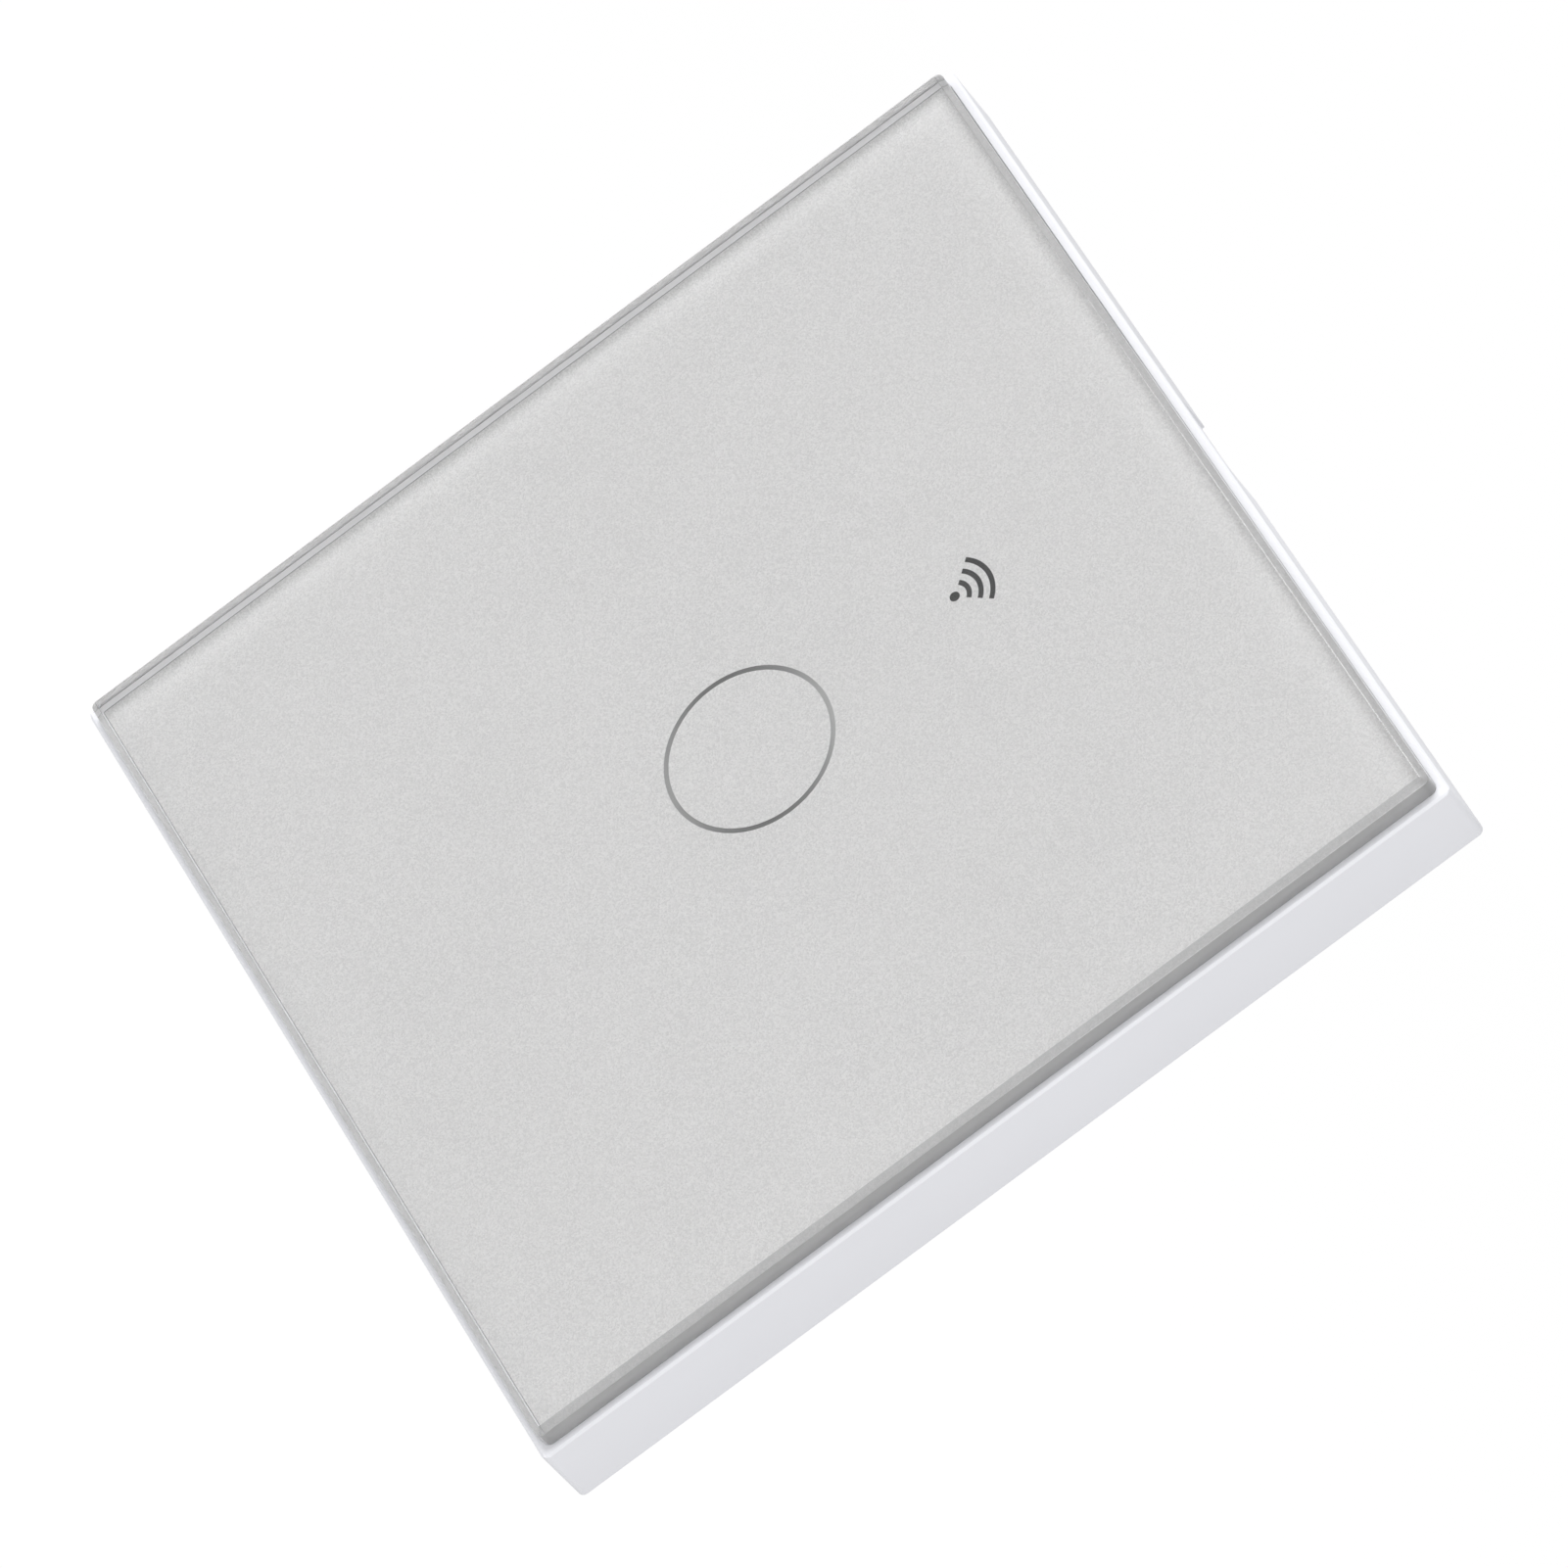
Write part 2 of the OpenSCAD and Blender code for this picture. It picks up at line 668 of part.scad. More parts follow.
// Screws that hold the touch board to the plate and the power board to its posts
module board_screws() {
  color(zinc) upright() {
    at_touch_screws() translate([0, 0, touch_back_z]) mirror([0, 0, 1])
      cross_screw(board_head_r, board_head_h, board_screw_r, board_screw_l);
    at_power_screws() translate([0, 0, power_front_z])
      cross_screw(board_head_r, board_head_h, board_screw_r, board_screw_l);
  }
}

// Board behind the glass with the touch spring, the lamps and the radio
module touch_board() {
  color(board_green) upright() difference() {
    translate([0, 0, touch_back_z]) linear_extrude(board_t) board_outline();
    at_touch_screws() translate([0, 0, touch_back_z - over])
      cylinder(r = board_screw_r + pass_clear, h = board_t + 2 * over);
  }
}

// Middle line of the touch spring: a leg off the board, a bend, the curls, a bend and a leg
spring_low_z = touch_front_z;
spring_top_z = print_back_z - spring_gap;
spring_leg = spring_wire;
spring_bend = 1.2 * spring_wire;
spring_rings = 8;
spring_sides = 6;
bend_steps = 3;
bend_angle = atan2(spring_bend, spring_r);
curl_low_z = spring_low_z + spring_leg + spring_bend;
curl_top_z = spring_top_z - spring_leg - spring_bend;
curl_steps = ceil(spring_turns * spring_rings);
curl_last = 360 * spring_turns;
function spring_low_bend(i) = let (a = 90 * i / bend_steps) [
  spring_r, spring_bend * (1 - cos(a)), spring_low_z + spring_leg + spring_bend * sin(a)
];
function turned(p, a) = [p[0] * cos(a) - p[1] * sin(a), p[0] * sin(a) + p[1] * cos(a), p[2]];
function spring_curl(i) = let (a = bend_angle + (curl_last - 2 * bend_angle) * i / curl_steps)
  turned([spring_r / cos(bend_angle * abs(1 - 2 * i / curl_steps)), 0,
          curl_low_z + (curl_top_z - curl_low_z) * i / curl_steps], a);
function spring_top_bend(i) = let (p = spring_low_bend(i))
  turned([p[0], -p[1], spring_low_z + spring_top_z - p[2]], curl_last);
spring_path = concat(
  [[spring_r, 0, spring_low_z]],
  [for (i = [0 : bend_steps - 1]) spring_low_bend(i)],
  [for (i = [0 : curl_steps]) spring_curl(i)],
  [for (i = [bend_steps - 1 : -1 : 0]) spring_top_bend(i)],
  [turned([spring_r, 0, spring_top_z], curl_last)]
);
spring_n = len(spring_path);
half_curl = spring_rings / 2;
spring_self_gap = min([
  for (i = [0 : spring_n - 1], j = [0 : 1 : i - half_curl])
    norm(spring_path[i] - spring_path[j]) - spring_wire
]);
echo(spring_least_gap = spring_self_gap);

function unit(v) = v / norm(v);
function spring_tangent(i) =
  unit(spring_path[min(i + 1, spring_n - 1)] - spring_path[max(i - 1, 0)]);
function spring_ring(i) =
  let (p = spring_path[i], t = spring_tangent(i), out = [p[0], p[1], 0])
  let (u = unit(out - (out * t) * t), v = cross(t, u))
  [for (k = [0 : spring_sides - 1])
    p + spring_wire / 2 * (cos(360 * k / spring_sides) * u + sin(360 * k / spring_sides) * v)];

// Coil spring between the touch board and the glass, the electrode of the touch ring
module touch_spring() {
  rings = [for (i = [0 : spring_n - 1]) each spring_ring(i)];
  last = (spring_n - 1) * spring_sides;
  walls = [
    for (i = [0 : spring_n - 2], k = [0 : spring_sides - 1])
      let (a = i * spring_sides + k, b = i * spring_sides + (k + 1) % spring_sides)
      each [[a, a + spring_sides, b], [b, a + spring_sides, b + spring_sides]]
  ];
  ends = [
    for (k = [1 : spring_sides - 2])
      each [[0, k, k + 1], [last, last + k + 1, last + k]]
  ];
  color(zinc) upright() polyhedron(points = rings, faces = concat(walls, ends));
}

// Lamps under the touch ring's tube
module ring_leds() {
  color([0.95, 0.93, 0.8]) upright() for (a = [45 : 90 : 315]) rotate(a)
    translate([ring_r, 0, touch_front_z]) block_on(lamp_d, lamp_w, lamp_h);
}

// Lamp under the signal mark's rod
module status_led() {
  color([0.95, 0.93, 0.8]) upright() translate([0, status_y, touch_front_z])
    block_on(lamp_d, status_lamp_w, lamp_h);
}

// Touch controller on the front of the touch board
chip_x = -0.65 * window_r;
chip_y = -0.38 * window_r;
chip_w = 4.9;
chip_d = 3.9;
chip_h = 1.4;
chip_pin_w = 0.4;
chip_pin_l = 0.9;
chip_pin_t = 0.25;
chip_pin_pitch = 1.27;
chip_bevel = 0.1;
module touch_chip() {
  color(black_plastic) upright() translate([chip_x, chip_y, touch_front_z]) {
    bevelled_slab(chip_w, chip_d, chip_h, 2 * chip_bevel, chip_bevel, 0);
    for (s = [-1, 1], i = [-1.5 : 1 : 1.5])
      translate([i * chip_pin_pitch, s * (chip_d + chip_pin_l - 2 * chip_bevel) / 2, 0])
        block_on(chip_pin_w, chip_pin_l, chip_pin_t);
  }
}

// Chip resistors and capacitors beside the touch controller
small_w = 0.8;
small_d = 1.6;
small_h = 0.5;
small_pitch = 2;
small_gap = 0.7;
small_out = chip_d / 2 + chip_pin_l + small_gap + small_d / 2;
module small_chips() {
  color([0.55, 0.45, 0.35]) upright() for (i = [0 : 2]) {
    translate([chip_x + (i - 1) * small_pitch, chip_y + small_out, touch_front_z])
      block_on(small_w, small_d, small_h);
    translate([chip_x + (i + 1) * small_pitch, chip_y - small_out, touch_front_z])
      block_on(small_w, small_d, small_h);
  }
}

// Radio module on the back of the touch board
radio_w = 16;
radio_d = 18;
radio_t = 0.8;
radio_y = -6;
shield_w = 14;
shield_d = 12;
shield_h = 2;
shield_in = 1;
shield_bevel = 0.2;
module radio_board() {
  color([0.1, 0.2, 0.35]) upright() translate([0, radio_y, touch_back_z - radio_t])
    block_on(radio_w, radio_d, radio_t);
}

// Metal can over the radio's chips
module radio_shield() {
  color(zinc) upright()
    translate([0, radio_y + (radio_d - shield_d) / 2 - shield_in, touch_back_z - radio_t])
      mirror([0, 0, 1])
        bevelled_slab(shield_w, shield_d, shield_h, 2 * shield_bevel, shield_bevel, 0);
}

// Plastic strip of the plug between the boards
module pin_header() {
  color(black_plastic) upright() translate([0, header_y, touch_back_z - header_t])
    block_on(header_w, header_d, header_t);
}

// Repeats its children at the pins of the plug
module at_pins() {
  for (i = [0 : header_pins_n - 1])
    translate([(i - (header_pins_n - 1) / 2) * header_pitch, header_y, 0]) children();
}

// Pins of the plug, inside the socket's holes
module header_pins() {
  pin_end_z = power_front_z + socket_floor + socket_gap;
  color(brass) upright() at_pins() translate([0, 0, pin_end_z])
    block_on(pin_side, pin_side, touch_back_z - header_t - pin_end_z);
}

// Socket on the power board that the plug goes into
module header_socket() {
  socket_h = board_gap - header_t - socket_gap;
  color(black_plastic) upright() difference() {
    translate([0, header_y, power_front_z]) block_on(header_w, header_d, socket_h);
    at_pins() translate([0, 0, power_front_z + socket_floor])
      block_on(socket_hole, socket_hole, socket_h);
  }
}

// Board with the power supply, the relay and the terminals
module power_board() {
  color(board_green) upright() difference() {
    translate([0, 0, power_back_z]) linear_extrude(board_t) board_outline();
    at_power_screws() translate([0, 0, power_back_z - over])
      cylinder(r = board_screw_r + pass_clear, h = board_t + 2 * over);
  }
}

// Relay that switches the lamp circuit
module relay() {
  color([0.15, 0.3, 0.6]) upright() boxed_part(left_x, relay_y, relay_w, relay_d, tall_h);
}

// Ferrite frame of the supply's transformer, on its foot plate
core_w = 12;
core_d = 4.8;
core_leg = 2.2;
core_yoke = 1.7;
foot_t = 1.2;
core_h = tall_h - tall_clear - foot_t;
coil_d = 9.6;
coil_clear = 0.1;
module transformer_core() {
  color([0.2, 0.2, 0.2]) upright()
    translate([transformer_x, transformer_y, power_back_z - foot_t]) mirror([0, 0, 1])
      difference() {
        block_on(core_w, core_d, core_h);
        translate([0, 0, core_yoke])
          block_on(core_w - 2 * core_leg, core_d + 2 * over, core_h - 2 * core_yoke);
      }
}

// Taped winding through the ferrite frame, with the foot plate under it
module transformer_coil() {
  wound_w = core_w - 2 * core_leg - 2 * coil_clear;
  wound_h = core_h - 2 * core_yoke - 2 * coil_clear;
  lug_d = (coil_d - core_d) / 2 - coil_clear;
  color([0.85, 0.7, 0.2]) upright()
    translate([transformer_x, transformer_y, power_back_z]) mirror([0, 0, 1]) {
      block_on(core_w, coil_d, foot_t);
      translate([0, 0, foot_t + core_yoke + coil_clear]) block_on(wound_w, coil_d, wound_h);
      for (s = [-1, 1]) translate([0, s * (coil_d - lug_d) / 2, 0])
        block_on(wound_w / 2, lug_d, foot_t + core_yoke + 2 * coil_clear);
    }
}

// Can capacitor that stands on the power board, with a crimp groove near its foot
module can_capacitor(x, y, r, h) {
  groove = 0.06 * r;
  groove_z = 1.2;
  groove_w = 0.8;
  translate([x, y, power_back_z]) mirror([0, 0, 1]) rotate_extrude()
    polygon([
      [0, 0], [r, 0], [r, groove_z], [r - groove, groove_z + groove_w / 2],
      [r, groove_z + groove_w], [r, h - groove], [r - groove, h], [0, h]
    ]);
}

// Reservoir capacitor of the supply
module bulk_capacitor() {
  color([0.1, 0.12, 0.25]) upright() can_capacitor(right_x, bulk_y, bulk_r, tall_h);
}

// Smoothing capacitor of the supply's output
module output_capacitor() {
  color([0.1, 0.12, 0.25]) upright() can_capacitor(right_x, output_y, output_r, output_h);
}

// Film capacitor across the mains
module film_capacitor() {
  color([0.75, 0.7, 0.2]) upright()
    boxed_part(0, film_y, film_w, film_d, film_h);
}

// Disc that clips voltage peaks, standing on its two legs
module varistor() {
  disc_r = 3.5;
  disc_t = 3.2;
  leg_r = 0.35;
  leg_l = 1.2;
  color([0.15, 0.35, 0.65]) upright() translate([varistor_x, low_row_y, power_back_z]) {
    translate([0, disc_t / 2, -leg_l - disc_r]) rotate([90, 0, 0])
      cylinder(r = disc_r, h = disc_t);
    for (s = [-1, 1]) translate([s * disc_r / 2, 0, -leg_l - disc_r])
      cylinder(r = leg_r, h = leg_l + disc_r);
  }
}

// Small fuse in a moulded case
module fuse() {
  color([0.25, 0.18, 0.12]) upright() boxed_part(left_x, fuse_y, fuse_w, fuse_d, fuse_h);
}

// Drum choke that filters the supply
module choke() {
  waist_r = 0.8 * choke_r;
  rim_t = 1.2;
  color([0.2, 0.2, 0.2]) upright() translate([choke_x, low_row_y, power_back_z])
    mirror([0, 0, 1]) rotate_extrude() polygon([
      [0, 0], [choke_r, 0], [choke_r, rim_t], [waist_r, rim_t],
      [waist_r, choke_h - rim_t], [choke_r, choke_h - rim_t], [choke_r, choke_h], [0, choke_h]
    ]);
}

// Bridge rectifier on the front of the power board
module bridge_rectifier() {
  color(black_plastic) upright() translate([bridge_x, bridge_y, power_front_z])
    bevelled_slab(bridge_w, bridge_d, bridge_h, 2 * chip_bevel, chip_bevel, 0);
}

function pole_x(k) = (k - (pole_count + 1) / 2) * pole_pitch;

// Block with a pocket, a screw well and a wire hole for each terminal
module terminal_block() {
  pocket_w = clamp_w + 2 * clamp_clear;
  wire_low_y = block_low_y - over;
  color([0.16, 0.17, 0.18]) upright() difference() {
    translate([-block_w / 2, block_low_y, housing_back_z])
      cube([block_w, block_d, power_back_z - housing_back_z]);
    for (k = [1 : pole_count]) translate([pole_x(k), 0, 0]) {
      translate([0, pole_y, housing_back_z - over])
        cylinder(r = screw_head_r + clamp_clear, h = head_under_z + ledge_gap - housing_back_z + over);
      translate([0, pole_y, head_under_z])
        cylinder(r = screw_r + 2 * screw_clear, h = ledge_t + 2 * ledge_gap + over / 2);
      translate([-pocket_w / 2, block_low_y + block_wall, pocket_back_z])
        cube([pocket_w, pocket_top_y - block_low_y - block_wall, pocket_front_z - pocket_back_z]);
      translate([-wire_hole_w / 2, wire_low_y, wire_back_z])
        cube([wire_hole_w, block_wall + 2 * over, wire_hole_h]);
      translate([-bar_w / 2 - clamp_clear, bar_top_y - bar_t - clamp_clear, pocket_front_z - over])
        cube([bar_w + 2 * clamp_clear, bar_t + 2 * clamp_clear, power_back_z - pocket_front_z + 2 * over]);
    }
  }
}

// Fixed current bars, each with a leg down to the power board
module terminal_bars() {
  color(brass) upright() for (k = [1 : pole_count])
    translate([pole_x(k) - bar_w / 2, 0, 0]) {
      translate([0, bar_low_y, bar_back_z]) cube([bar_w, bar_top_y - bar_low_y, bar_t]);
      translate([0, bar_top_y - bar_t, bar_back_z]) cube([bar_w, bar_t, power_back_z - bar_back_z]);
    }
}

// Clamp screw of one terminal, with a driver slot in its head
module terminal_screw(k) {
  tip_z = bar_back_z - ledge_gap;
  color(zinc) upright() translate([pole_x(k), pole_y, 0]) difference() {
    union() {
      translate([0, 0, head_under_z - screw_head_h]) cylinder(r = screw_head_r, h = screw_head_h);
      translate([0, 0, head_under_z]) cylinder(r = screw_r, h = tip_z - head_under_z);
    }
    translate([-screw_head_r - over, -driver_slot / 2, head_under_z - screw_head_h - over])
      cube([2 * screw_head_r + 2 * over, driver_slot, over + screw_head_h / 2]);
  }
}

// Wire clamp of one terminal, which climbs its screw
module terminal_clamp(k) {
  color(brass) upright() translate([pole_x(k), pole_y, clamp_back_z]) difference() {
    block_on(clamp_w, clamp_l, clamp_h);
    translate([0, 0, clamp_nut])
      block_on(clamp_w - 2 * clamp_wall, clamp_l + 2 * over, clamp_h - clamp_nut - clamp_wall);
    translate([0, 0, -over]) cylinder(r = screw_r + screw_clear, h = clamp_nut + 2 * over);
  }
}

glass_panel();
silver_print();
touch_marks();
panel_tape();
panel_frame();
ring_light_guide();
status_light_pipe();
mounting_plate();
rear_housing();
housing_screws();
board_screws();
touch_board();
touch_spring();
ring_leds();
status_led();
touch_chip();
small_chips();
radio_board();
radio_shield();
pin_header();
header_pins();
header_socket();
power_board();
relay();
transformer_core();
transformer_coil();
bulk_capacitor();
output_capacitor();
film_capacitor();
varistor();
fuse();
choke();
bridge_rectifier();
terminal_block();
terminal_bars();
terminal_screw(1);  // terminal_screw_1
terminal_screw(2);  // terminal_screw_2
terminal_screw(3);  // terminal_screw_3
terminal_clamp(1);  // terminal_clamp_1
terminal_clamp(2);  // terminal_clamp_2
terminal_clamp(3);  // terminal_clamp_3
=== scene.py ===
"""Looks of a touch light switch: silver-printed glass in a white frame, and the module behind it."""

import json
import math

import bpy
from mathutils import Matrix, Vector

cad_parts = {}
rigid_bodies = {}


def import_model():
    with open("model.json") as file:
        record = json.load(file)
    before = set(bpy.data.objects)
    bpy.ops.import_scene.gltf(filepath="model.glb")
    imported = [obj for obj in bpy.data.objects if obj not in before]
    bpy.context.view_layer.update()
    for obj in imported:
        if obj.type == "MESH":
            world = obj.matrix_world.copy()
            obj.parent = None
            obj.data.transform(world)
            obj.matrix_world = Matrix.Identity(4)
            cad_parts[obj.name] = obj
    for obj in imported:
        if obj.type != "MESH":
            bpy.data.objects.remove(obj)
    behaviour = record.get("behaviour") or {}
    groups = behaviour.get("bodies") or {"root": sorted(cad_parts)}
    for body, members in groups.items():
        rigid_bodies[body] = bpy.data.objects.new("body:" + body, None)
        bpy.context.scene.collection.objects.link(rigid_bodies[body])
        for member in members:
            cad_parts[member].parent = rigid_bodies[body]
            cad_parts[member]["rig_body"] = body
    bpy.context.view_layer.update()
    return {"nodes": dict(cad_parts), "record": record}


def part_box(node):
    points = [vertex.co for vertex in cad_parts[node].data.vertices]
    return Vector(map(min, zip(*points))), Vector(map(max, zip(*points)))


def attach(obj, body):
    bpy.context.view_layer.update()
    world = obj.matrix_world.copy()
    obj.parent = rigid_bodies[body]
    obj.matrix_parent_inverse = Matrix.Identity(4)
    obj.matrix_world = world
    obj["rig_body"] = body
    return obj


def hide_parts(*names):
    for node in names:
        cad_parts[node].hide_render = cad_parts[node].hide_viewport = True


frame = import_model()

MM = 0.001
NODES = frame["nodes"]


# Shader maths

class Value:
    """A socket of a finish's nodes; arithmetic on it adds Math nodes."""

    def __init__(self, finish, socket):
        self.finish = finish
        self.socket = socket

    def math(self, operation, *others):
        sockets = dict(enumerate((self,) + others))
        return self.finish.node("ShaderNodeMath", {"operation": operation}, sockets)

    def __add__(self, other):
        return self.math("ADD", other)

    def __sub__(self, other):
        return self.math("SUBTRACT", other)

    def __rsub__(self, other):
        return self.finish.node("ShaderNodeMath", {"operation": "SUBTRACT"}, {0: other, 1: self})

    def __mul__(self, other):
        return self.math("MULTIPLY", other)

    def __gt__(self, other):
        return self.math("GREATER_THAN", other)

    def __lt__(self, other):
        return self.math("LESS_THAN", other)

    __radd__ = __add__
    __rmul__ = __mul__


class Nodes:
    """A tree of nodes that is built from nothing."""

    def __init__(self, owner):
        owner.use_nodes = True
        self.tree = owner.node_tree
        self.tree.nodes.clear()

    def node(self, kind, settings=None, sockets=None, out=0):
        """Adds a node, makes its settings, fills or links its sockets and gives back one output."""
        made = self.tree.nodes.new(kind)
        for key, value in (settings or {}).items():
            setattr(made, key, value)
        for key, value in (sockets or {}).items():
            if isinstance(value, Value):
                self.tree.links.new(value.socket, made.inputs[key])
            else:
                made.inputs[key].default_value = value
        return Value(self, made.outputs[out]) if made.outputs else None

    def seen_plainly(self):
        """1 for what the camera, gloss and glass see, 0 for all other light."""
        seen = path = self.node("ShaderNodeLightPath")
        for ray in ("Is Glossy Ray", "Is Transmission Ray"):
            seen = seen.math("MAXIMUM", Value(self, path.socket.node.outputs[ray]))
        return seen


class Finish(Nodes):
    """One material, built from nodes."""

    SOCKETS = {
        "colour": "Base Color", "roughness": "Roughness", "metallic": "Metallic", "normal": "Normal",
        "ior": "IOR", "transmission": "Transmission Weight", "coat": "Coat Weight",
        "coat_roughness": "Coat Roughness",
    }

    def __init__(self, name):
        self.material = bpy.data.materials.new(name)
        super().__init__(self.material)
        self.place = None

    def where(self):
        """The place on the piece, which all patterns share."""
        if self.place is None:
            self.place = self.node("ShaderNodeTexCoord", out="Object")
        return self.place

    def axes(self):
        """The place along X, Y and Z, in metres."""
        split = self.node("ShaderNodeSeparateXYZ", {}, {0: self.where()})
        return [Value(self, socket) for socket in split.socket.node.outputs]

    def noise(self, size_mm, detail):
        """Noise from 0 to 1 whose lumps are about this size."""
        return self.node(
            "ShaderNodeTexNoise", {},
            {"Vector": self.where(), "Scale": 1 / (size_mm * MM), "Detail": detail},
        )

    def grains(self, size_mm):
        """A random value from 0 to 1 for each grain of about this size."""
        colour = self.node(
            "ShaderNodeTexVoronoi", {},
            {"Vector": self.where(), "Scale": 1 / (size_mm * MM)}, out="Color",
        )
        return self.node("ShaderNodeSeparateColor", {}, {0: colour})

    def mix(self, share, low, high):
        """A colour between two, by a share."""
        low, high = (c if isinstance(c, Value) else (*c, 1) for c in (low, high))
        return self.node("ShaderNodeMix", {"data_type": "RGBA"}, {0: share, 6: low, 7: high}, out=2)

    def bump(self, height, depth_mm, strength):
        return self.node(
            "ShaderNodeBump", {},
            {"Strength": strength, "Distance": depth_mm * MM, "Height": height},
        )

    def done(self, **values):
        """Closes the material with a Principled shader."""
        wired = {self.SOCKETS[key]: value for key, value in values.items()}
        shader = self.node("ShaderNodeBsdfPrincipled", {}, wired)
        self.node("ShaderNodeOutputMaterial", {}, {"Surface": shader})
        return self.material


# Finishes

def shaded(colour, share):
    return tuple(c * share for c in colour)


def moulded_plastic(name, colour, shade=0.94, roughness=0.38, grain_mm=0.35, depth_mm=0.004):
    """Moulded plastic with faint flow clouds and a fine skin texture."""
    f = Finish(name)
    clouds = f.noise(14, 3)
    skin = f.noise(grain_mm, 2)
    return f.done(
        colour=f.mix(clouds, shaded(colour, shade), colour),
        roughness=roughness - 0.06 + 0.12 * skin,
        normal=f.bump(skin, depth_mm, 0.5),
    )


def plated_metal(name, colour, shade=0.8, roughness=0.3):
    """Plated metal with soft blotches and fine pits."""
    f = Finish(name)
    blotches = f.noise(2.2, 4)
    pits = f.noise(0.1, 2)
    return f.done(
        colour=f.mix(blotches, shaded(colour, shade), colour),
        metallic=1.0,
        roughness=roughness - 0.1 + 0.2 * blotches,
        normal=f.bump(pits, 0.004, 0.4),
    )


def clear_glass():
    """Polished soda glass, with the faintest haze of fine grinding."""
    f = Finish("clear_glass")
    haze = f.noise(3, 2)
    return f.done(
        colour=f.mix(haze, (0.975, 0.977, 0.977), (0.985, 0.986, 0.986)),
        roughness=0.02 * haze, transmission=1.0, ior=1.5,
    )


def ground_glass(name, colour, roughness):
    """Ground edge of the glass, marked by the wheel, and pale from within."""
    f = Finish(name)
    from_within = f.node("ShaderNodeNewGeometry", out="Backfacing")
    scratches = f.noise(0.15, 3)
    return f.done(
        colour=f.mix(from_within, colour, (0.93, 0.93, 0.935)),
        roughness=roughness + 0.1 * scratches, transmission=0.85, ior=1.5,
        coat=1 - from_within, coat_roughness=0.04, normal=f.bump(scratches, 0.004, 0.12),
    )


def sealed_bevel_or_painted_shade(name, level):
    """Back bevel of the glass, set in glue against the white frame; at a low level it is a dark painted
    shade, the shadow of a thin gap at the back arris.
    """
    f = Finish(name)
    smears = f.noise(0.8, 3)
    thin, thick = (0.97, 0.97, 0.98), (1, 1, 1.02)
    return f.done(
        colour=f.mix(smears, shaded(thin, level), shaded(thick, level)),
        roughness=0.45 + 0.2 * smears,
    )


def silver_ink():
    """Silver ink full of fine flakes that catch the light one by one."""
    f = Finish("silver_ink")
    flakes = f.grains(0.12)
    clouds = f.noise(9, 3)
    level = 0.85 * flakes + 0.15 * clouds
    return f.done(
        colour=f.mix(level, (0.615, 0.613, 0.612), (0.825, 0.822, 0.82)),
        metallic=0.2,
        roughness=0.5 + 0.15 * flakes,
        normal=f.bump(flakes, 0.01, 0.25),
    )


def mark_ink_painted_light():
    """Ink of the marks: solid in the signal mark; the ring has painted light and shade, drawn lighter
    towards its top and foot and darker at its sides.
    """
    f = Finish("mark_ink_painted_light")
    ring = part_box("touch_marks")[1].x
    # the direction, across and up, in which the ring is painted lightest
    lit_direction = (0.225, 0.974)
    across, _, up = f.axes()
    in_ring = across * across + up * up < (1.2 * ring) ** 2
    along = (lit_direction[0] * across + lit_direction[1] * up) * (1 / ring)
    # painted light: how much lighter the ring is drawn, growing towards its top and foot
    painted_light_share = along * along * (0.85 + 0.15 * along)
    patches = f.noise(0.3, 2)
    ring_painted_light = f.mix(painted_light_share, (0.12, 0.12, 0.12), (0.42, 0.42, 0.42))
    return f.done(
        colour=f.mix(in_ring, (0.005, 0.005, 0.0055), ring_painted_light), roughness=0.45 + 0.1 * patches,
    )


def frosted_plastic():
    """Milky plastic of the light guides, with a fine matt skin."""
    f = Finish("frosted_plastic")
    skin = f.noise(0.25, 2)
    clouds = f.noise(5, 2)
    return f.done(
        colour=f.mix(clouds, (0.8, 0.82, 0.83), (0.88, 0.89, 0.9)),
        roughness=0.45 + 0.15 * skin, normal=f.bump(skin, 0.006, 0.5),
    )


def board_mask(name, mask, copper):
    """Solder mask over copper tracks that run square to each other, and fine glass weave under it."""
    f = Finish(name)
    across, _, up = f.axes()
    pitch = 1.27 * MM
    stretch = 9 * pitch
    width_share, bare_share = 0.22, 0.55

    def tracks(along, other, seed):
        lane = (along * (1 / pitch)).math("FRACT")
        index = (along * (1 / pitch)).math("FLOOR")
        square = f.node("ShaderNodeCombineXYZ", {}, {
            0: index, 1: (other * (1 / stretch)).math("FLOOR") + seed})
        chance = f.node(
            "ShaderNodeTexWhiteNoise", {"noise_dimensions": "2D"}, {"Vector": square}, out="Value")
        line = (lane - 0.5).math("ABSOLUTE") < width_share / 2
        return line * (chance > bare_share)

    run = tracks(across, up, 3.0).math("MAXIMUM", tracks(up, across, 11.0))
    weave = f.noise(0.4, 2)
    ground = f.mix(weave, mask, shaded(mask, 1.25))
    return f.done(
        colour=f.mix(run, ground, copper),
        roughness=0.32 + 0.12 * weave, normal=f.bump(run, 0.03, 0.6),
    )


def wrapped_tape(name, colour):
    """Layers of tape or sleeve wound round a piece."""
    f = Finish(name)
    skin = f.noise(0.6, 3)
    bands = f.noise(3.5, 2)
    return f.done(
        colour=f.mix(bands, shaded(colour, 0.8), colour),
        roughness=0.3 + 0.15 * skin, normal=f.bump(skin, 0.02, 0.4),
    )


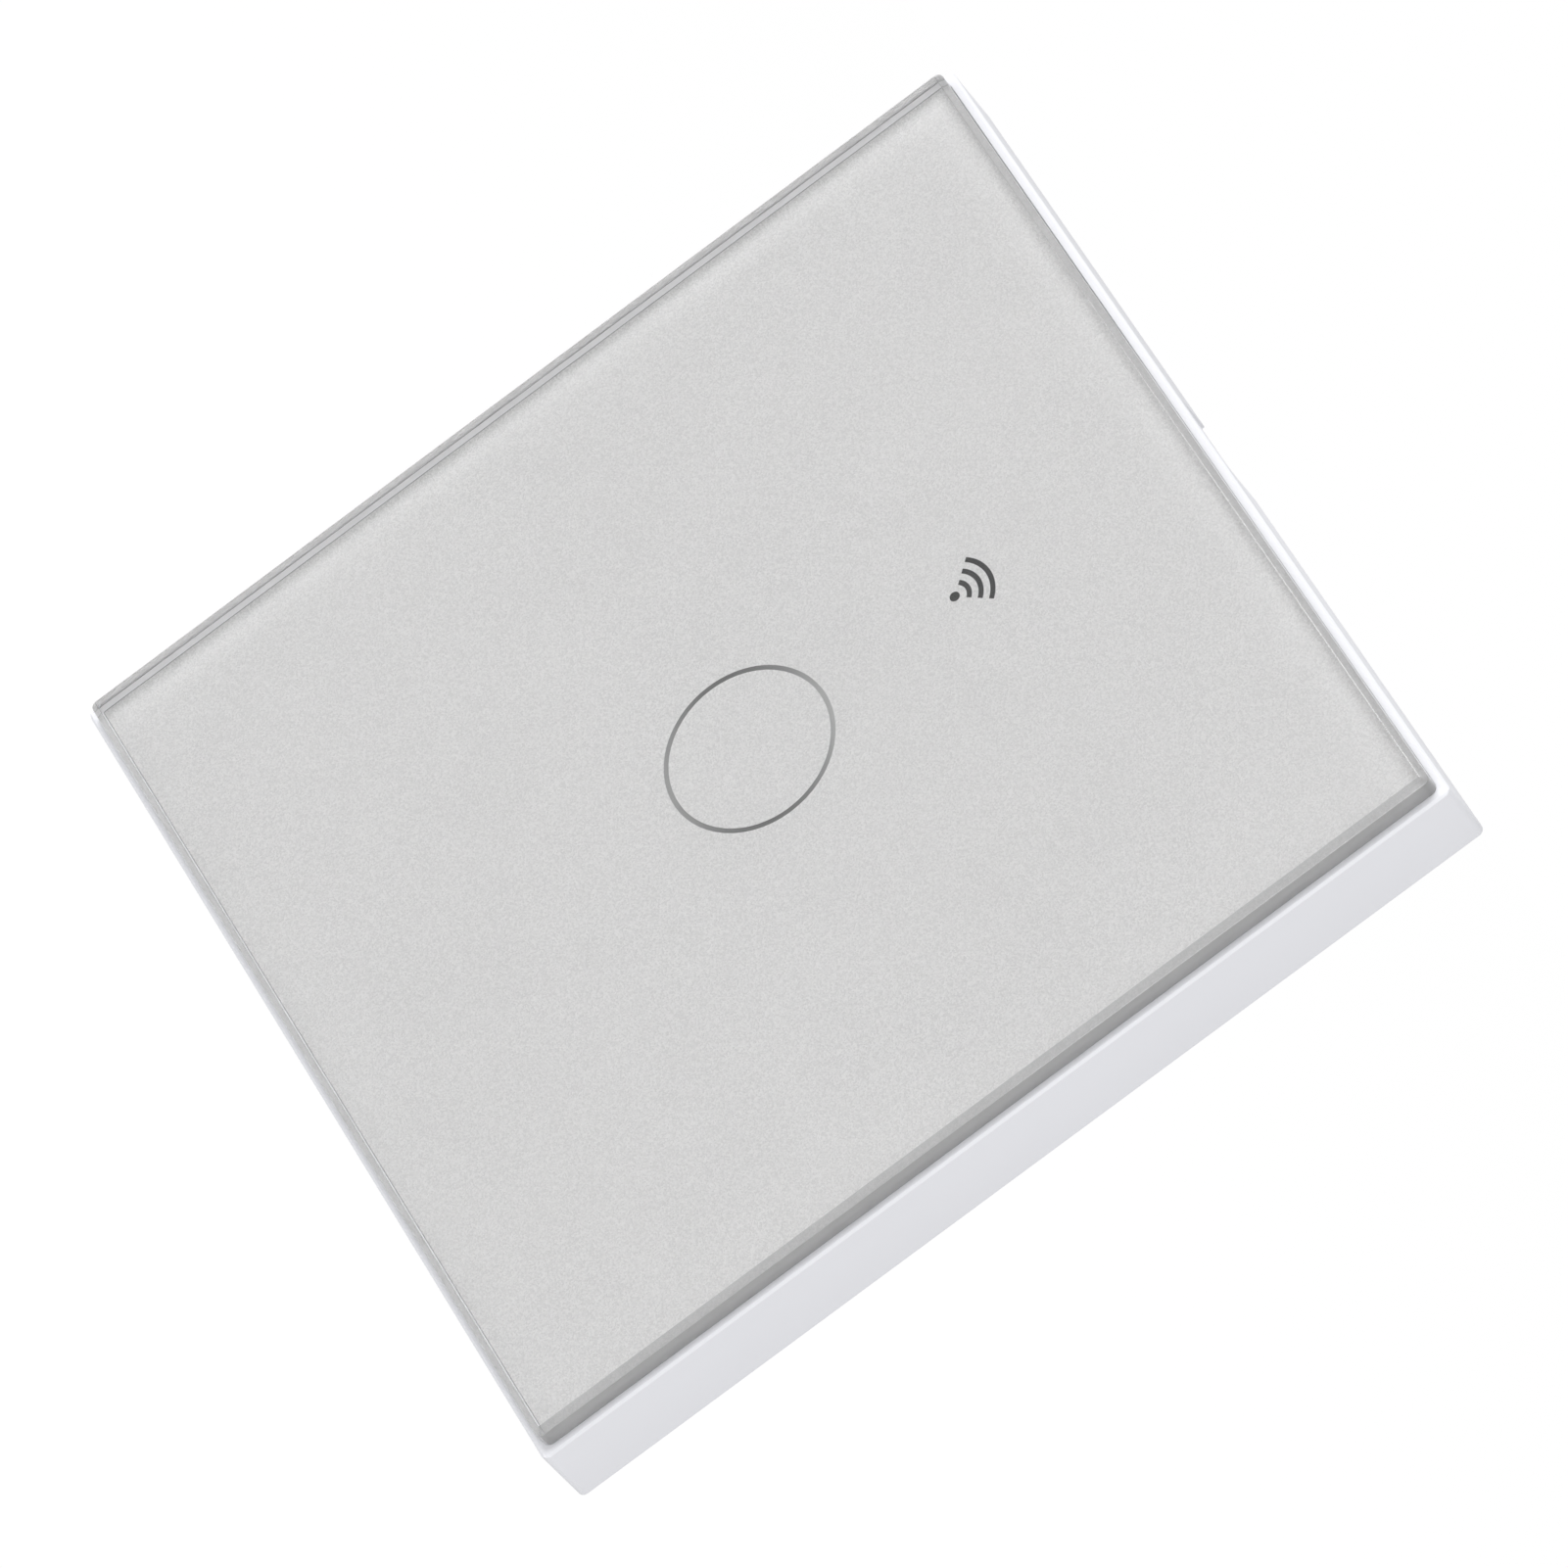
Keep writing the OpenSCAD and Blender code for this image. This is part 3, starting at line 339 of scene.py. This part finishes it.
finishes = {
    "glass": clear_glass(),
    "front_bevel": ground_glass("front_bevel", (0.46, 0.462, 0.468), 0.1),
    "ground_side": ground_glass("ground_side", (0.235, 0.237, 0.24), 0.35),
    "back_bevel": sealed_bevel_or_painted_shade("back_bevel", 0.94),
    # painted shade: the back arris is dark, for the shadow in the thin gap where the ink stops at the
    # back bevel
    "painted_shade_arris": sealed_bevel_or_painted_shade("painted_shade_arris", 0.4),
    "silver_print": silver_ink(),
    "mark_print": mark_ink_painted_light(),
    "tape": wrapped_tape("foam_tape", (0.8, 0.8, 0.78)),
    "white_plastic": moulded_plastic("white_plastic", (0.815, 0.82, 0.856), 0.97, 0.55),
    "frosted_plastic": frosted_plastic(),
    "housing_plastic": moulded_plastic(
        "housing_plastic", (0.74, 0.745, 0.75), 0.95, 0.5, 0.5, 0.015),
    "circuit_board": board_mask("green_board", (0.02, 0.12, 0.06), (0.05, 0.22, 0.11)),
    "zinc_steel": plated_metal("zinc_steel", (0.66, 0.67, 0.69)),
    "spring_steel": plated_metal("spring_steel", (0.74, 0.73, 0.71), 0.88, 0.24),
    "led": moulded_plastic("lamp_resin", (0.78, 0.6, 0.16), 0.9, 0.25),
    "lamp_case": moulded_plastic("lamp_case", (0.78, 0.78, 0.76), 0.95, 0.4, 0.2),
    "tin": plated_metal("tin", (0.7, 0.7, 0.69), 0.85, 0.35),
    "chip_plastic": moulded_plastic("chip_plastic", (0.03, 0.03, 0.033), 0.7, 0.55, 0.2, 0.01),
    "chip_part": moulded_plastic("chip_ceramic", (0.3, 0.19, 0.11), 0.8, 0.5, 0.2, 0.006),
    "radio_board": board_mask("blue_board", (0.01, 0.035, 0.12), (0.03, 0.08, 0.22)),
    "brass": plated_metal("brass", (0.78, 0.58, 0.27), 0.85, 0.32),
    "relay_plastic": moulded_plastic("relay_plastic", (0.03, 0.1, 0.36), 0.85, 0.3),
    "ferrite": moulded_plastic("ferrite", (0.07, 0.07, 0.075), 0.7, 0.6, 0.25, 0.02),
    "winding_tape": wrapped_tape("winding_tape", (0.75, 0.52, 0.06)),
    "capacitor_sleeve": wrapped_tape("capacitor_sleeve", (0.02, 0.03, 0.1)),
    "film_case": moulded_plastic("film_case", (0.68, 0.56, 0.08), 0.9, 0.35),
    "varistor_coat": wrapped_tape("varistor_coat", (0.03, 0.15, 0.45)),
    "fuse_case": moulded_plastic("fuse_case", (0.12, 0.06, 0.035), 0.85, 0.45),
    "terminal_plastic": moulded_plastic(
        "terminal_plastic", (0.045, 0.047, 0.052), 0.85, 0.45, 0.4, 0.01),
}
slot_of = {part["node"]: part["material_slot"] for part in frame["record"]["subparts"]}


def paint(piece, *slots):
    piece.data.materials.clear()
    for name in slots:
        piece.data.materials.append(finishes[name])


for name, solid in NODES.items():
    paint(solid, slot_of[name])


# Modelling

# An edge that turns more than SHARP gets rounded; triangles within FLAT of each other are one face
SHARP, FLAT = math.radians(30), math.radians(0.5)
ROUND_STEPS, RIM_STEPS = 3, 5

# How close points lie that are one, in millimetres: in a CAD mesh, and after a rounding
CAD_SLACK, ROUNDING_SLACK = 0.0005, 0.00002

# The frame, and the least width of its lip in millimetres
FRAME_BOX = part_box("panel_frame")
LIP_LEAST = 0.4


def alone(piece):
    """Makes a piece the only one selected."""
    if bpy.context.object and bpy.context.object.mode != "OBJECT":
        bpy.ops.object.mode_set(mode="OBJECT")
    bpy.ops.object.select_all(action="DESELECT")
    piece.select_set(True)
    bpy.context.view_layer.objects.active = piece


def edit(piece, mode="EDGE"):
    alone(piece)
    bpy.ops.object.mode_set(mode="EDIT")
    bpy.ops.mesh.select_mode(type=mode)


def leave_edit():
    bpy.ops.object.mode_set(mode="OBJECT")


def pick(piece, kind, wanted):
    """Selects the edges, polygons or vertices of a piece that a test wants."""
    leave_edit()
    mesh = piece.data
    for items in (mesh.vertices, mesh.edges, mesh.polygons):
        items.foreach_set("select", [False] * len(items))
    for item in getattr(mesh, kind):
        if wanted(item):
            item.select = True
    bpy.ops.object.mode_set(mode="EDIT")


def push_out(step):
    """Extrudes what is selected by a step."""
    bpy.ops.mesh.extrude_region_move(TRANSFORM_OT_translate={"value": step})


def set_in_place():
    """Puts the place, turn and size of the selected piece into its mesh."""
    bpy.ops.object.transform_apply(location=True, rotation=True, scale=True)


def newly_added(name):
    """The primitive that was just added, under its own name."""
    piece = bpy.context.object
    piece.name = piece.data.name = name
    return piece


def ends_of(piece, edge):
    return [piece.data.vertices[i].co for i in edge.vertices]


def near(a, b, slack_mm=0.01):
    return abs(a - b) < slack_mm * MM


def reach(point):
    """How far a point lies from the middle of the switch, across or up."""
    return max(abs(point.x), abs(point.z))


def apply_bevel(piece, width_mm, segments):
    """Rounds every sharp edge of a piece."""
    alone(piece)
    rounding = piece.modifiers.new("rounding", "BEVEL")
    rounding.width = width_mm * MM
    rounding.segments = segments
    rounding.limit_method = "ANGLE"
    rounding.angle_limit = SHARP
    rounding.harden_normals = True
    bpy.ops.object.shade_smooth()
    bpy.ops.object.modifier_apply(modifier=rounding.name)


def round_edges(piece, wanted, width_mm, segments):
    """Rounds the edges of a piece whose ends pass a test."""
    edit(piece)
    pick(piece, "edges", lambda edge: wanted(ends_of(piece, edge)))
    bpy.ops.mesh.bevel(offset=width_mm * MM, segments=segments, affect="EDGES")
    leave_edit()


def merge_doubles(piece, slack_mm):
    """Merges points that lie on top of each other, and leaves the piece open for editing."""
    edit(piece, "VERT")
    bpy.ops.mesh.select_all(action="SELECT")
    bpy.ops.mesh.remove_doubles(threshold=slack_mm * MM)


def merged_copy(node, name):
    """A copy of a CAD solid whose triangles are joined into whole faces."""
    piece = bpy.data.objects.new(name, NODES[node].data.copy())
    bpy.context.scene.collection.objects.link(piece)
    merge_doubles(piece, CAD_SLACK)
    bpy.ops.mesh.dissolve_limited(angle_limit=FLAT)
    leave_edit()
    return piece


def moulded(node, name, width_mm, rims=None, rim_mm=0.3, shape=None, tight_corners=False):
    """A copy of a CAD solid with rounded edges, shown in its place; its rims have their own rounding.

    In tight corners the rounding leaves points on top of each other, which are merged.
    """
    piece = merged_copy(node, name)
    if shape:
        shape(piece)
    if rims:
        round_edges(piece, rims, rim_mm, RIM_STEPS)
    apply_bevel(piece, width_mm, ROUND_STEPS)
    if tight_corners:
        merge_doubles(piece, ROUNDING_SLACK)
        leave_edit()
    return finish_piece(piece, node)


def finish_piece(piece, node, slots=None):
    """Gives a piece its finish, its slot and the body of the node that it stands for, and hides that
    node.
    """
    index = [face.material_index for face in piece.data.polygons]
    paint(piece, *(slots or [slot_of[node]]))
    if slots:
        piece.data.polygons.foreach_set("material_index", index)
    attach(piece, NODES[node]["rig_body"])
    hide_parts(node)
    return piece


def block(name, low, high):
    """A box between two corners, to be shaped further."""
    bpy.ops.object.select_all(action="DESELECT")
    bpy.ops.mesh.primitive_cube_add(size=1, location=(low + high) / 2)
    piece = newly_added(name)
    piece.scale = high - low
    set_in_place()
    return piece


def joined(pieces, name):
    """Several pieces made one; the first one alone is only renamed."""
    alone(pieces[0])
    for piece in pieces[1:]:
        piece.select_set(True)
    if len(pieces) > 1:
        bpy.ops.object.join()
    return newly_added(name)


def glass_slab():
    """The glass: ground to 45 degrees round both faces, its edges eased, its back sunk into the ink."""
    corner, bevel, eased, ink_bond = 0.6, 0.5, 0.08, 0.015
    bevel_slope = math.sqrt(0.5)
    slots = ["glass", "front_bevel", "ground_side", "back_bevel", "painted_shade_arris"]
    low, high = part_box("glass_panel")
    high = high + Vector((0, ink_bond * MM, 0))
    slab = block("glass_slab", low, high)

    def slot_at(slope):
        """The slot of a face, by how far it looks to the back."""
        if abs(slope) > 0.99:
            return "glass"
        if slope < -0.5:
            return "front_bevel"
        if slope < 0.1:
            return "ground_side"
        # the back arris takes the dark painted shade
        return "back_bevel" if abs(slope - bevel_slope) < 0.03 else "painted_shade_arris"

    round_edges(slab, lambda ends: abs(ends[0].y - ends[1].y) > 1 * MM, corner, 4)
    for level in (low.y, high.y):
        round_edges(slab, lambda ends: all(near(p.y, level) for p in ends), bevel, 1)
    apply_bevel(slab, eased, 2)
    for face in slab.data.polygons:
        face.material_index = slots.index(slot_at(face.normal.y))
    return finish_piece(slab, "glass_panel", slots)


def on_lip(point):
    """Whether a point of the frame lies on the front of its lip, clear of the outer edge."""
    low, high = FRAME_BOX
    return near(point.y, low.y) and reach(point) < high.x - LIP_LEAST * MM


def closed_lip(piece):
    """Brings the inner wall of the frame's lip up to the glass."""
    clear, depth, band, slack = 0.005 * MM, 0.5 * MM, 2 * MM, 0.01 * MM
    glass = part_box("glass_panel")[1]
    wall = max(reach(v.co) for v in piece.data.vertices if on_lip(v.co))
    closer = (glass.x + clear) / wall
    edit(piece, "VERT")
    pick(piece, "vertices", lambda v: (
        v.co.y < glass.y + depth and wall - band < reach(v.co) < wall + slack))
    bpy.ops.transform.resize(value=(closer, 1, closer), center_override=(0, 0, 0))
    leave_edit()


def lip_rim(ends):
    """Inner edge of the frame's lip, round the glass."""
    return all(on_lip(p) for p in ends)


def housing_rim():
    """Outer edges of the housing, along its corners and round its back."""
    low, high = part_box("rear_housing")

    def on_outside(ends):
        along = ends[1] - ends[0]
        on_wall = all(near(reach(p), high.x) for p in ends)
        at_back = all(near(p.y, high.y) for p in ends)
        full_depth = abs(along.y) > 0.95 * (high.y - low.y)
        return on_wall and along.length > 3 * MM and (at_back or full_depth)

    return on_outside


def skirt_rim():
    """Both edges of the rim that stands round the mounting plate."""
    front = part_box("mounting_plate")[0].y
    return lambda ends: all(near(p.y, front) for p in ends)


def box_rim(node):
    """Edges of a node that lie along the edges of its box."""
    low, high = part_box(node)

    def along_box(ends):
        held = 0
        for axis in range(3):
            a, b = ends[0][axis], ends[1][axis]
            held += near(a, b) and (near(a, low[axis]) or near(a, high[axis]))
        return held == 2

    return along_box


def head_rim(node, radius_mm, at_back):
    """Outer edge of the screw heads of a node, at the back or the front of its box."""
    low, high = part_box(node)
    level = high.y if at_back else low.y
    r = radius_mm * MM
    middles = [(x, z) for x in {low.x + r, high.x - r} for z in {low.z + r, high.z - r}]

    def on_rim(ends):
        return all(
            near(p.y, level) and min(math.hypot(p.x - x, p.z - z) for x, z in middles) > 0.95 * r
            for p in ends
        )

    return on_rim


def touch_coil():
    """The touch spring: a round wire wound into a coil, bent at each end into a short leg."""
    wire, leg, bend = 0.5 * MM, 0.5 * MM, 0.6 * MM
    turns, steps_a_turn, bend_steps = 3.5, 40, 6
    low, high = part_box("touch_spring")
    radius = high.x - wire / 2
    lean = math.atan2(bend, radius)
    first, last = high.y - leg - bend, low.y + leg + bend
    bpy.ops.object.select_all(action="DESELECT")
    bpy.ops.mesh.primitive_circle_add(
        vertices=12, radius=wire / 2, location=(radius, first, bend), rotation=(0, -lean, 0))
    coil = newly_added("touch_coil")
    set_in_place()
    wound = coil.modifiers.new("wound", "SCREW")
    wound.axis = "Y"
    wound.angle = -2 * math.pi * turns + 2 * lean
    wound.screw_offset = last - first
    wound.steps = wound.render_steps = int(turns * steps_a_turn)
    bpy.ops.object.modifier_apply(modifier=wound.name)
    for side, level in ((1, first), (-1, last)):
        middle = Vector((side * radius, level, bend))
        across = Vector((math.cos(lean), 0, side * math.sin(lean)))
        along = Vector((-side * math.sin(lean), 0, math.cos(lean)))

        def at_end(vertex):
            out = vertex.co - middle
            return out.length < 0.6 * wire and near(out.dot(along), 0, 0.02)

        edit(coil, "VERT")
        pick(coil, "vertices", at_end)
        bpy.ops.mesh.select_mode(type="EDGE")
        bpy.ops.mesh.spin(
            steps=bend_steps, angle=-side * math.pi / 2,
            center=middle + Vector((0, side * bend, 0)), axis=across,
        )
        push_out((0, side * leg, 0))
        bpy.ops.mesh.edge_face_add()
    bpy.ops.mesh.select_all(action="SELECT")
    bpy.ops.mesh.normals_make_consistent(inside=False)
    leave_edit()
    bpy.ops.object.shade_smooth_by_angle(angle=math.radians(40))
    return finish_piece(coil, "touch_spring")


def lamp(name, low, high):
    """A lamp in a white case, with its resin in a shallow well that faces the glass."""
    rim, corner, well, eased = 0.2 * MM, 0.1 * MM, 0.15 * MM, 0.05

    def to_glass(face):
        return face.normal.y < -0.9

    case = block(name, low, high)
    edit(case, "FACE")
    pick(case, "polygons", to_glass)
    bpy.ops.mesh.inset(thickness=rim)
    bpy.ops.mesh.bevel(offset=corner, segments=2, affect="VERTICES")
    push_out((0, well, 0))
    leave_edit()
    resin = [to_glass(face) and face.center.y > low.y + well / 3 for face in case.data.polygons]
    paint(case, "lamp_case", "led")
    case.data.polygons.foreach_set("material_index", [int(part) for part in resin])
    apply_bevel(case, eased, 2)
    return case


def lamps_of(node, name, places, width_mm, depth_mm):
    """The lamps of a node, each at its place across and up, and turned."""
    low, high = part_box(node)
    half = Vector((width_mm / 2 * MM, 0, depth_mm / 2 * MM))
    pieces = []
    for i, (x, z, turn) in enumerate(places):
        case = lamp(
            f"{name}_{i}", Vector((-half.x, low.y, -half.z)), Vector((half.x, high.y, half.z)))
        alone(case)
        case.rotation_euler.y = turn
        case.location = (x, 0, z)
        set_in_place()
        pieces.append(case)
    return finish_piece(joined(pieces, name), node, ["lamp_case", "led"])


def touch_controller():
    """The touch controller: a moulded body with eight bent legs of tinned metal."""
    slots = ["chip_plastic", "tin"]
    leg_out, leg_w, leg_t, pitch, seam = 0.8 * MM, 0.4 * MM, 0.14 * MM, 1.27 * MM, 0.7 * MM
    stand_off, sunk, shoulder, slant, foot = 0.08 * MM, 0.1 * MM, 0.3 * MM, 0.1 * MM, 0.5 * MM
    low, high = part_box("touch_chip")
    middle = (low + high) / 2
    body = block(
        "touch_controller", low + Vector((0, 0, leg_out)), high - Vector((0, stand_off, leg_out)))
    apply_bevel(body, 0.12, 2)
    paint(body, *slots)
    pieces = [body]
    for side in (-1, 1):
        root = middle.z + side * ((high.z - low.z) / 2 - leg_out - sunk)
        tip = root + side * shoulder
        for i in range(4):
            bpy.ops.object.select_all(action="DESELECT")
            bpy.ops.mesh.primitive_plane_add(size=1, location=(
                middle.x + (i - 1.5) * pitch, high.y - seam, root + side * shoulder / 2))
            leg = bpy.context.object
            leg.rotation_euler.x = math.pi / 2
            leg.scale = (leg_w, shoulder, 1)
            set_in_place()
            edit(leg)
            pick(leg, "edges", lambda edge: all(near(p.z, tip) for p in ends_of(leg, edge)))
            push_out((0, seam - leg_t / 2, side * slant))
            push_out((0, 0, side * foot))
            leave_edit()
            sheet = leg.modifiers.new("sheet", "SOLIDIFY")
            sheet.thickness = leg_t
            sheet.offset = 0
            bpy.ops.object.modifier_apply(modifier=sheet.name)
            paint(leg, *slots)
            tinned = [slots.index("tin")] * len(leg.data.polygons)
            leg.data.polygons.foreach_set("material_index", tinned)
            pieces.append(leg)
    return finish_piece(joined(pieces, "touch_controller"), "touch_chip", slots)


def chip_caps():
    """The small chips, each with tinned end caps."""
    cap = 0.3 * MM
    piece = merged_copy("small_chips", "capped_chips")
    ends = sorted({round(v.co.z, 6) for v in piece.data.vertices})
    cuts = [ends[0] + cap, ends[1] - cap, ends[2] + cap, ends[3] - cap]
    edit(piece, "FACE")
    for cut in cuts:
        bpy.ops.mesh.select_all(action="SELECT")
        bpy.ops.mesh.bisect(plane_co=(0, 0, cut), plane_no=(0, 0, 1))
    leave_edit()
    for face in piece.data.polygons:
        z = face.center.z
        face.material_index = 0 if cuts[0] < z < cuts[1] or cuts[2] < z < cuts[3] else 1
    apply_bevel(piece, 0.05, 2)
    return finish_piece(piece, "small_chips", ["chip_part", "tin"])


glass_slab()
moulded(
    "panel_frame", "frame_moulding", 0.12,
    rims=lip_rim, rim_mm=0.04, shape=closed_lip, tight_corners=True,
)
moulded("mounting_plate", "plate_moulding", 0.15, rims=skirt_rim(), rim_mm=0.4)
moulded("rear_housing", "housing_moulding", 0.15, rims=housing_rim(), rim_mm=0.8)
moulded("terminal_block", "terminal_moulding", 0.15, rims=box_rim("terminal_block"), rim_mm=0.4)
moulded("ring_light_guide", "ring_guide_moulding", 0.12)
moulded("status_light_pipe", "mark_guide_moulding", 0.12)
moulded(
    "housing_screws", "domed_screws", 0.05,
    rims=head_rim("housing_screws", 2.5, at_back=False), rim_mm=0.7,
)
for pole in (1, 2, 3):
    screw = f"terminal_screw_{pole}"
    moulded(
        screw, f"clamp_screw_{pole}", 0.05,
        rims=head_rim(screw, 1.95, at_back=True), rim_mm=0.35,
    )
    moulded(f"terminal_clamp_{pole}", f"bent_clamp_{pole}", 0.2)
touch_coil()
ring_lamp_r = 7.15 * MM
ring_lamp_turns = [math.radians(45 + 90 * i) for i in range(4)]
lamps_of(
    "ring_leds", "ring_lamps",
    [(ring_lamp_r * math.cos(a), ring_lamp_r * math.sin(a), -a) for a in ring_lamp_turns],
    width_mm=1.25, depth_mm=2.0,
)
status_low, status_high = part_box("status_led")
lamps_of(
    "status_led", "status_lamp", [(0, (status_low.z + status_high.z) / 2, 0)],
    width_mm=1.25, depth_mm=1.6,
)
touch_controller()
chip_caps()


# Floor, light and camera

FLOOR_LEVEL, FLOOR_SIZE = -0.16, 8
FLOOR_SHOWS_WHITE = 0.85
FLOOR_WHITE = 1.08
SKY_GLOW = 0.62
WHITE = (1, 1, 1, 1)

bpy.ops.object.select_all(action="DESELECT")
bpy.ops.mesh.primitive_plane_add(size=FLOOR_SIZE, location=(0, 0, FLOOR_LEVEL))
floor = newly_added("floor")
pale = Finish("pale_floor")
pale_paint = pale.node("ShaderNodeBsdfDiffuse", {}, {"Color": (0.85, 0.85, 0.85, 1)})
plain_white = pale.node("ShaderNodeEmission", {}, {"Color": WHITE, "Strength": FLOOR_WHITE})
floor_look = pale.node("ShaderNodeMixShader", {}, {
    0: pale.seen_plainly() * FLOOR_SHOWS_WHITE, 1: pale_paint, 2: plain_white})
pale.node("ShaderNodeOutputMaterial", {}, {"Surface": floor_look})
floor.data.materials.append(pale.material)

studio = bpy.data.worlds.new("studio")
bpy.context.scene.world = studio
sky = Nodes(studio)
glow = sky.node("ShaderNodeBackground", {}, {"Color": WHITE, "Strength": SKY_GLOW})
backdrop = sky.node("ShaderNodeBackground", {}, {"Color": WHITE, "Strength": 1.0})
sky_look = sky.node("ShaderNodeMixShader", {}, {0: sky.seen_plainly(), 1: glow, 2: backdrop})
sky.node("ShaderNodeOutputWorld", {}, {"Surface": sky_look})


def in_scene(name, data):
    """An object that holds a light or a camera."""
    holder = bpy.data.objects.new(name, data)
    bpy.context.scene.collection.objects.link(holder)
    return holder


def soft_box(name, place, size, watts):
    """A square soft lamp that looks at the switch."""
    light = bpy.data.lights.new(name, "AREA")
    light.shape = "SQUARE"
    light.size = size
    light.energy = watts
    holder = in_scene(name, light)
    holder.location = place
    holder.rotation_euler = (-Vector(place)).to_track_quat("-Z", "Y").to_euler()


soft_box("key_light", (-0.65, -1.6, 0.65), 1.1, 22)
soft_box("side_light", (1.6, -0.5, 0.35), 1.0, 7)

CAMERA_PLACE = Vector((0.681158, -0.884615, 0.087708))
CAMERA_AHEAD = Vector((-0.608786, 0.789465, -0.078262)).normalized()
CAMERA_RIGHT = Vector((0.433349, 0.413551, 0.800740)).normalized()
SENSOR_MM, LENS_MM = 36, 328.94
view = bpy.data.cameras.new("view")
view.sensor_width = SENSOR_MM
view.lens = LENS_MM
view.clip_start = 0.01
camera = in_scene("view", view)
camera_axes = (CAMERA_RIGHT, CAMERA_RIGHT.cross(CAMERA_AHEAD), -CAMERA_AHEAD)
camera.matrix_world = Matrix.Translation(CAMERA_PLACE) @ Matrix(camera_axes).transposed().to_4x4()
bpy.context.scene.camera = camera
bpy.context.scene.view_settings.view_transform = "Standard"
